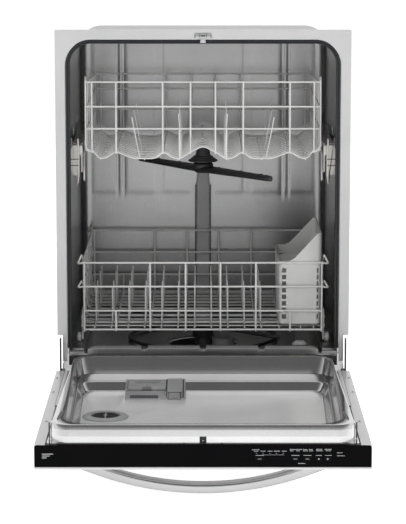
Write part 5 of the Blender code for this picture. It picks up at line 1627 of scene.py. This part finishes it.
def make_feet():
    for place in PLACES:
        for side in SIDES:
            node = f"leveling_foot_{place}_{side}"
            low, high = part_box(node)
            x, y = (low.x + high.x) / 2, (low.y + high.y) / 2
            bm = bmesh.new()
            pad = ((0, 0), (0.0172, 0), (0.018, 0.0008), (0.018, 0.0042), (0.0165, 0.0056), (0.0098, 0.0098),
                   (0.006, 0.01), (0.006, 0.0104), (0, 0.0104))
            add_turned(bm, pad, (x, y, 0), "Z", 40)
            add_turned(bm, ((0, 0.0104), (0.0092, 0.0104), (0.0092, 0.016), (0, 0.016)), (x, y, 0), "Z", 6)
            thread = [(0, 0.0158), (0.0044, 0.0158)]
            for k in range(11):
                base = 0.0164 + 0.0015 * k
                thread += [(0.005, base + 0.0004), (0.0044, base + 0.0011)]
            thread += [(0.0044, high.z), (0, high.z)]
            add_turned(bm, thread, (x, y, 0), "Z", 28)
            piece(f"foot_{place}_{side}", bm, "cabinet", "dark", (node,), crease=30)


def make_junction_box():
    low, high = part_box("junction_box")
    bm = bmesh.new()
    add_box(bm, low, high, 0.0012, 3)
    box = piece("cable_box", bm, "cabinet", "zinc", ("junction_box",), crease=35)
    hole = bmesh.new()
    add_box(hole, (low.x + 0.002, low.y + 0.002, low.z + 0.002),
            (high.x - 0.002, high.y - 0.002, high.z - 0.002))
    add_turned(hole, ((0, high.y - 0.006), (0.011, high.y - 0.006), (0.011, high.y + 0.002),
                      (0, high.y + 0.002)),
               ((low.x + high.x) / 2, 0, 0.074), "Y", 40)
    carve(box, hole)
    bm = bmesh.new()
    add_box(bm, (low.x + 0.004, low.y - 0.001, low.z + 0.004),
            (high.x - 0.004, low.y + 0.0004, high.z - 0.004), 0.0004)
    for x in (low.x + 0.012, high.x - 0.012):
        screw(bm, (x, low.y - 0.001, (low.z + high.z) / 2), 0.0034, "Y", -1)
    piece("cable_box_cover", bm, "cabinet", "zinc", crease=30)


def make_toe_kick():
    low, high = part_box("toe_kick")
    bm = bmesh.new()
    add_box(bm, (low.x, low.y, low.z), (high.x, low.y + 0.0018, high.z), 0.0008)
    add_box(bm, (low.x + 0.02, low.y + 0.001, high.z - 0.0016), (high.x - 0.02, high.y, high.z), 0.0005)
    for z in (low.z + 0.02, low.z + 0.045):
        add_box(bm, (low.x + 0.03, low.y - 0.0008, z), (high.x - 0.03, low.y + 0.0004, z + 0.004), 0.0006)
    for hand in (-1, 1):
        screw(bm, (hand * 0.283, low.y, high.z - 0.012), 0.004, "Y", -1)
    piece("kick_panel", bm, "cabinet", "black_steel", ("toe_kick",), crease=35)


def dress_cad():
    dress("base_frame", "zinc", 0.0004)
    dress("door_outer_panel", "skin", 0.0003)
    for side in SIDES:
        dress(f"hinge_arm_{side}", "black_steel", 0.0005)


# Light, floor and camera

def make_stage():
    bm = bmesh.new()
    add_box(bm, (-9.0, -9.0, -0.021), (9.0, 9.0, -0.0006))
    mesh = bpy.data.meshes.new("floor")
    bm.to_mesh(mesh)
    bm.free()
    floor = bpy.data.objects.new("floor", mesh)
    bpy.context.scene.collection.objects.link(floor)
    look = new_look("pale_floor", (0.9, 0.9, 0.9), 0.75)
    mesh.materials.append(look)
    tones(look, pattern(look, 2.5), grey(0.86), grey(0.9))
    put(shader_of(look), "Emission Color", (1.0, 1.0, 1.0, 1.0))
    put(shader_of(look), "Emission Strength", 0.62)


def area_light(name, place, aim, size, power):
    data = bpy.data.lights.new(name, "AREA")
    data.shape = "RECTANGLE"
    data.size, data.size_y = size
    data.energy = power
    lamp = bpy.data.objects.new(name, data)
    bpy.context.scene.collection.objects.link(lamp)
    lamp.location = place
    lamp.rotation_euler = (Vector(aim) - Vector(place)).to_track_quat("-Z", "Y").to_euler()
    lamp.visible_glossy = False
    return lamp


def make_light():
    """A white backdrop, a bright band low in front, a dim ceiling, and soft lamps for the shade."""
    world = bpy.data.worlds.new("studio")
    bpy.context.scene.world = world
    world.use_nodes = True
    tree = world.node_tree
    sky = tree.nodes["Background"]
    place = tree.nodes.new("ShaderNodeTexCoord")
    split = tree.nodes.new("ShaderNodeSeparateXYZ")
    front = tree.nodes.new("ShaderNodeValToRGB")
    stops = ((0.0, 0.75), (0.5, 0.95), (0.56, 1.1), (0.62, 0.45), (0.68, 0.12), (0.93, 0.12), (0.97, 0.9),
             (1.0, 1.0))
    ramp = front.color_ramp
    while len(ramp.elements) < len(stops):
        ramp.elements.new(0.5)
    for element, (position, value) in zip(ramp.elements, stops):
        element.position = position
        element.color = (value, value, value, 1)
    height = tree.nodes.new("ShaderNodeMapRange")
    put(height, "From Min", -1.0)
    behind = tree.nodes.new("ShaderNodeMapRange")
    behind.interpolation_type = "SMOOTHSTEP"
    put(behind, "From Min", -0.25)
    put(behind, "From Max", 0.35)
    blend = tree.nodes.new("ShaderNodeMixRGB")
    put(blend, "Color2", (1.0, 1.0, 1.0, 1.0))
    plain = tree.nodes.new("ShaderNodeBackground")
    put(plain, "Color", (1.0, 1.0, 1.0, 1.0))
    put(plain, "Strength", 1.05)
    seen = tree.nodes.new("ShaderNodeLightPath")
    either = tree.nodes.new("ShaderNodeMixShader")
    for source, output, target, socket in (
            (place, "Generated", split, "Vector"), (split, "Z", height, "Value"),
            (height, "Result", front, "Fac"),
            (split, "Y", behind, "Value"), (behind, "Result", blend, "Fac"),
            (front, "Color", blend, "Color1"),
            (blend, "Color", sky, "Color"), (seen, "Is Camera Ray", either, "Fac"),
            (sky, "Background", either, 1),
            (plain, "Background", either, 2), (either, "Shader", tree.nodes["World Output"], "Surface")):
        tree.links.new(source.outputs[output], target.inputs[socket])
    area_light("key", (-1.6, -3.4, 2.6), (0, 0, 0.45), (2.4, 1.8), 26)
    area_light("fill", (1.9, -3.0, 1.8), (0, 0, 0.45), (2.0, 1.8), 17)
    area_light("top", (0, 0.2, 3.4), (0, -0.1, 0.2), (2.4, 2.4), 14)
    area_light("back", (0.6, 3.2, 2.2), (0, 0, 0.4), (2.4, 2.0), 12)
    bpy.context.scene.view_settings.view_transform = "Standard"


def make_camera():
    """The picture's view: level with the tub's upper edge, looking slightly down."""
    distance, height, pitch, lens = 4.836, 1.154, 9.007, 162.52
    data = bpy.data.cameras.new("view")
    data.sensor_width = 36.0
    data.lens = lens
    data.clip_end = 60.0
    camera = bpy.data.objects.new("view", data)
    bpy.context.scene.collection.objects.link(camera)
    camera.location = (0, PLANE - distance, height)
    camera.rotation_euler = (math.radians(90 - pitch), 0, 0)
    bpy.context.scene.camera = camera


def make_rollers():
    for place in PLACES:
        for side in SIDES:
            make_wheel(f"rack_roller_{place}_{side}", "beige", 0)
            make_wheel(f"rail_wheel_{place}_{side}", "beige", 0)


for make in (make_camera, make_tub, make_studs, make_tub_bottom, make_flange, make_gasket,
             make_strike, make_feed_tube, make_liner, make_door_strips, make_console, make_print,
             make_buttons, make_edge_trim, make_handle, make_dispenser, make_cover, make_flap,
             make_vent, make_latch, make_lower_rack, make_upper_rack, make_rollers, make_hangers,
             make_rails, make_basket, make_arms, make_manifold, make_float, make_springs,
             make_element, make_sump, make_pumps, make_feet, make_junction_box, make_toe_kick,
             dress_cad, make_stage, make_light):
    make()
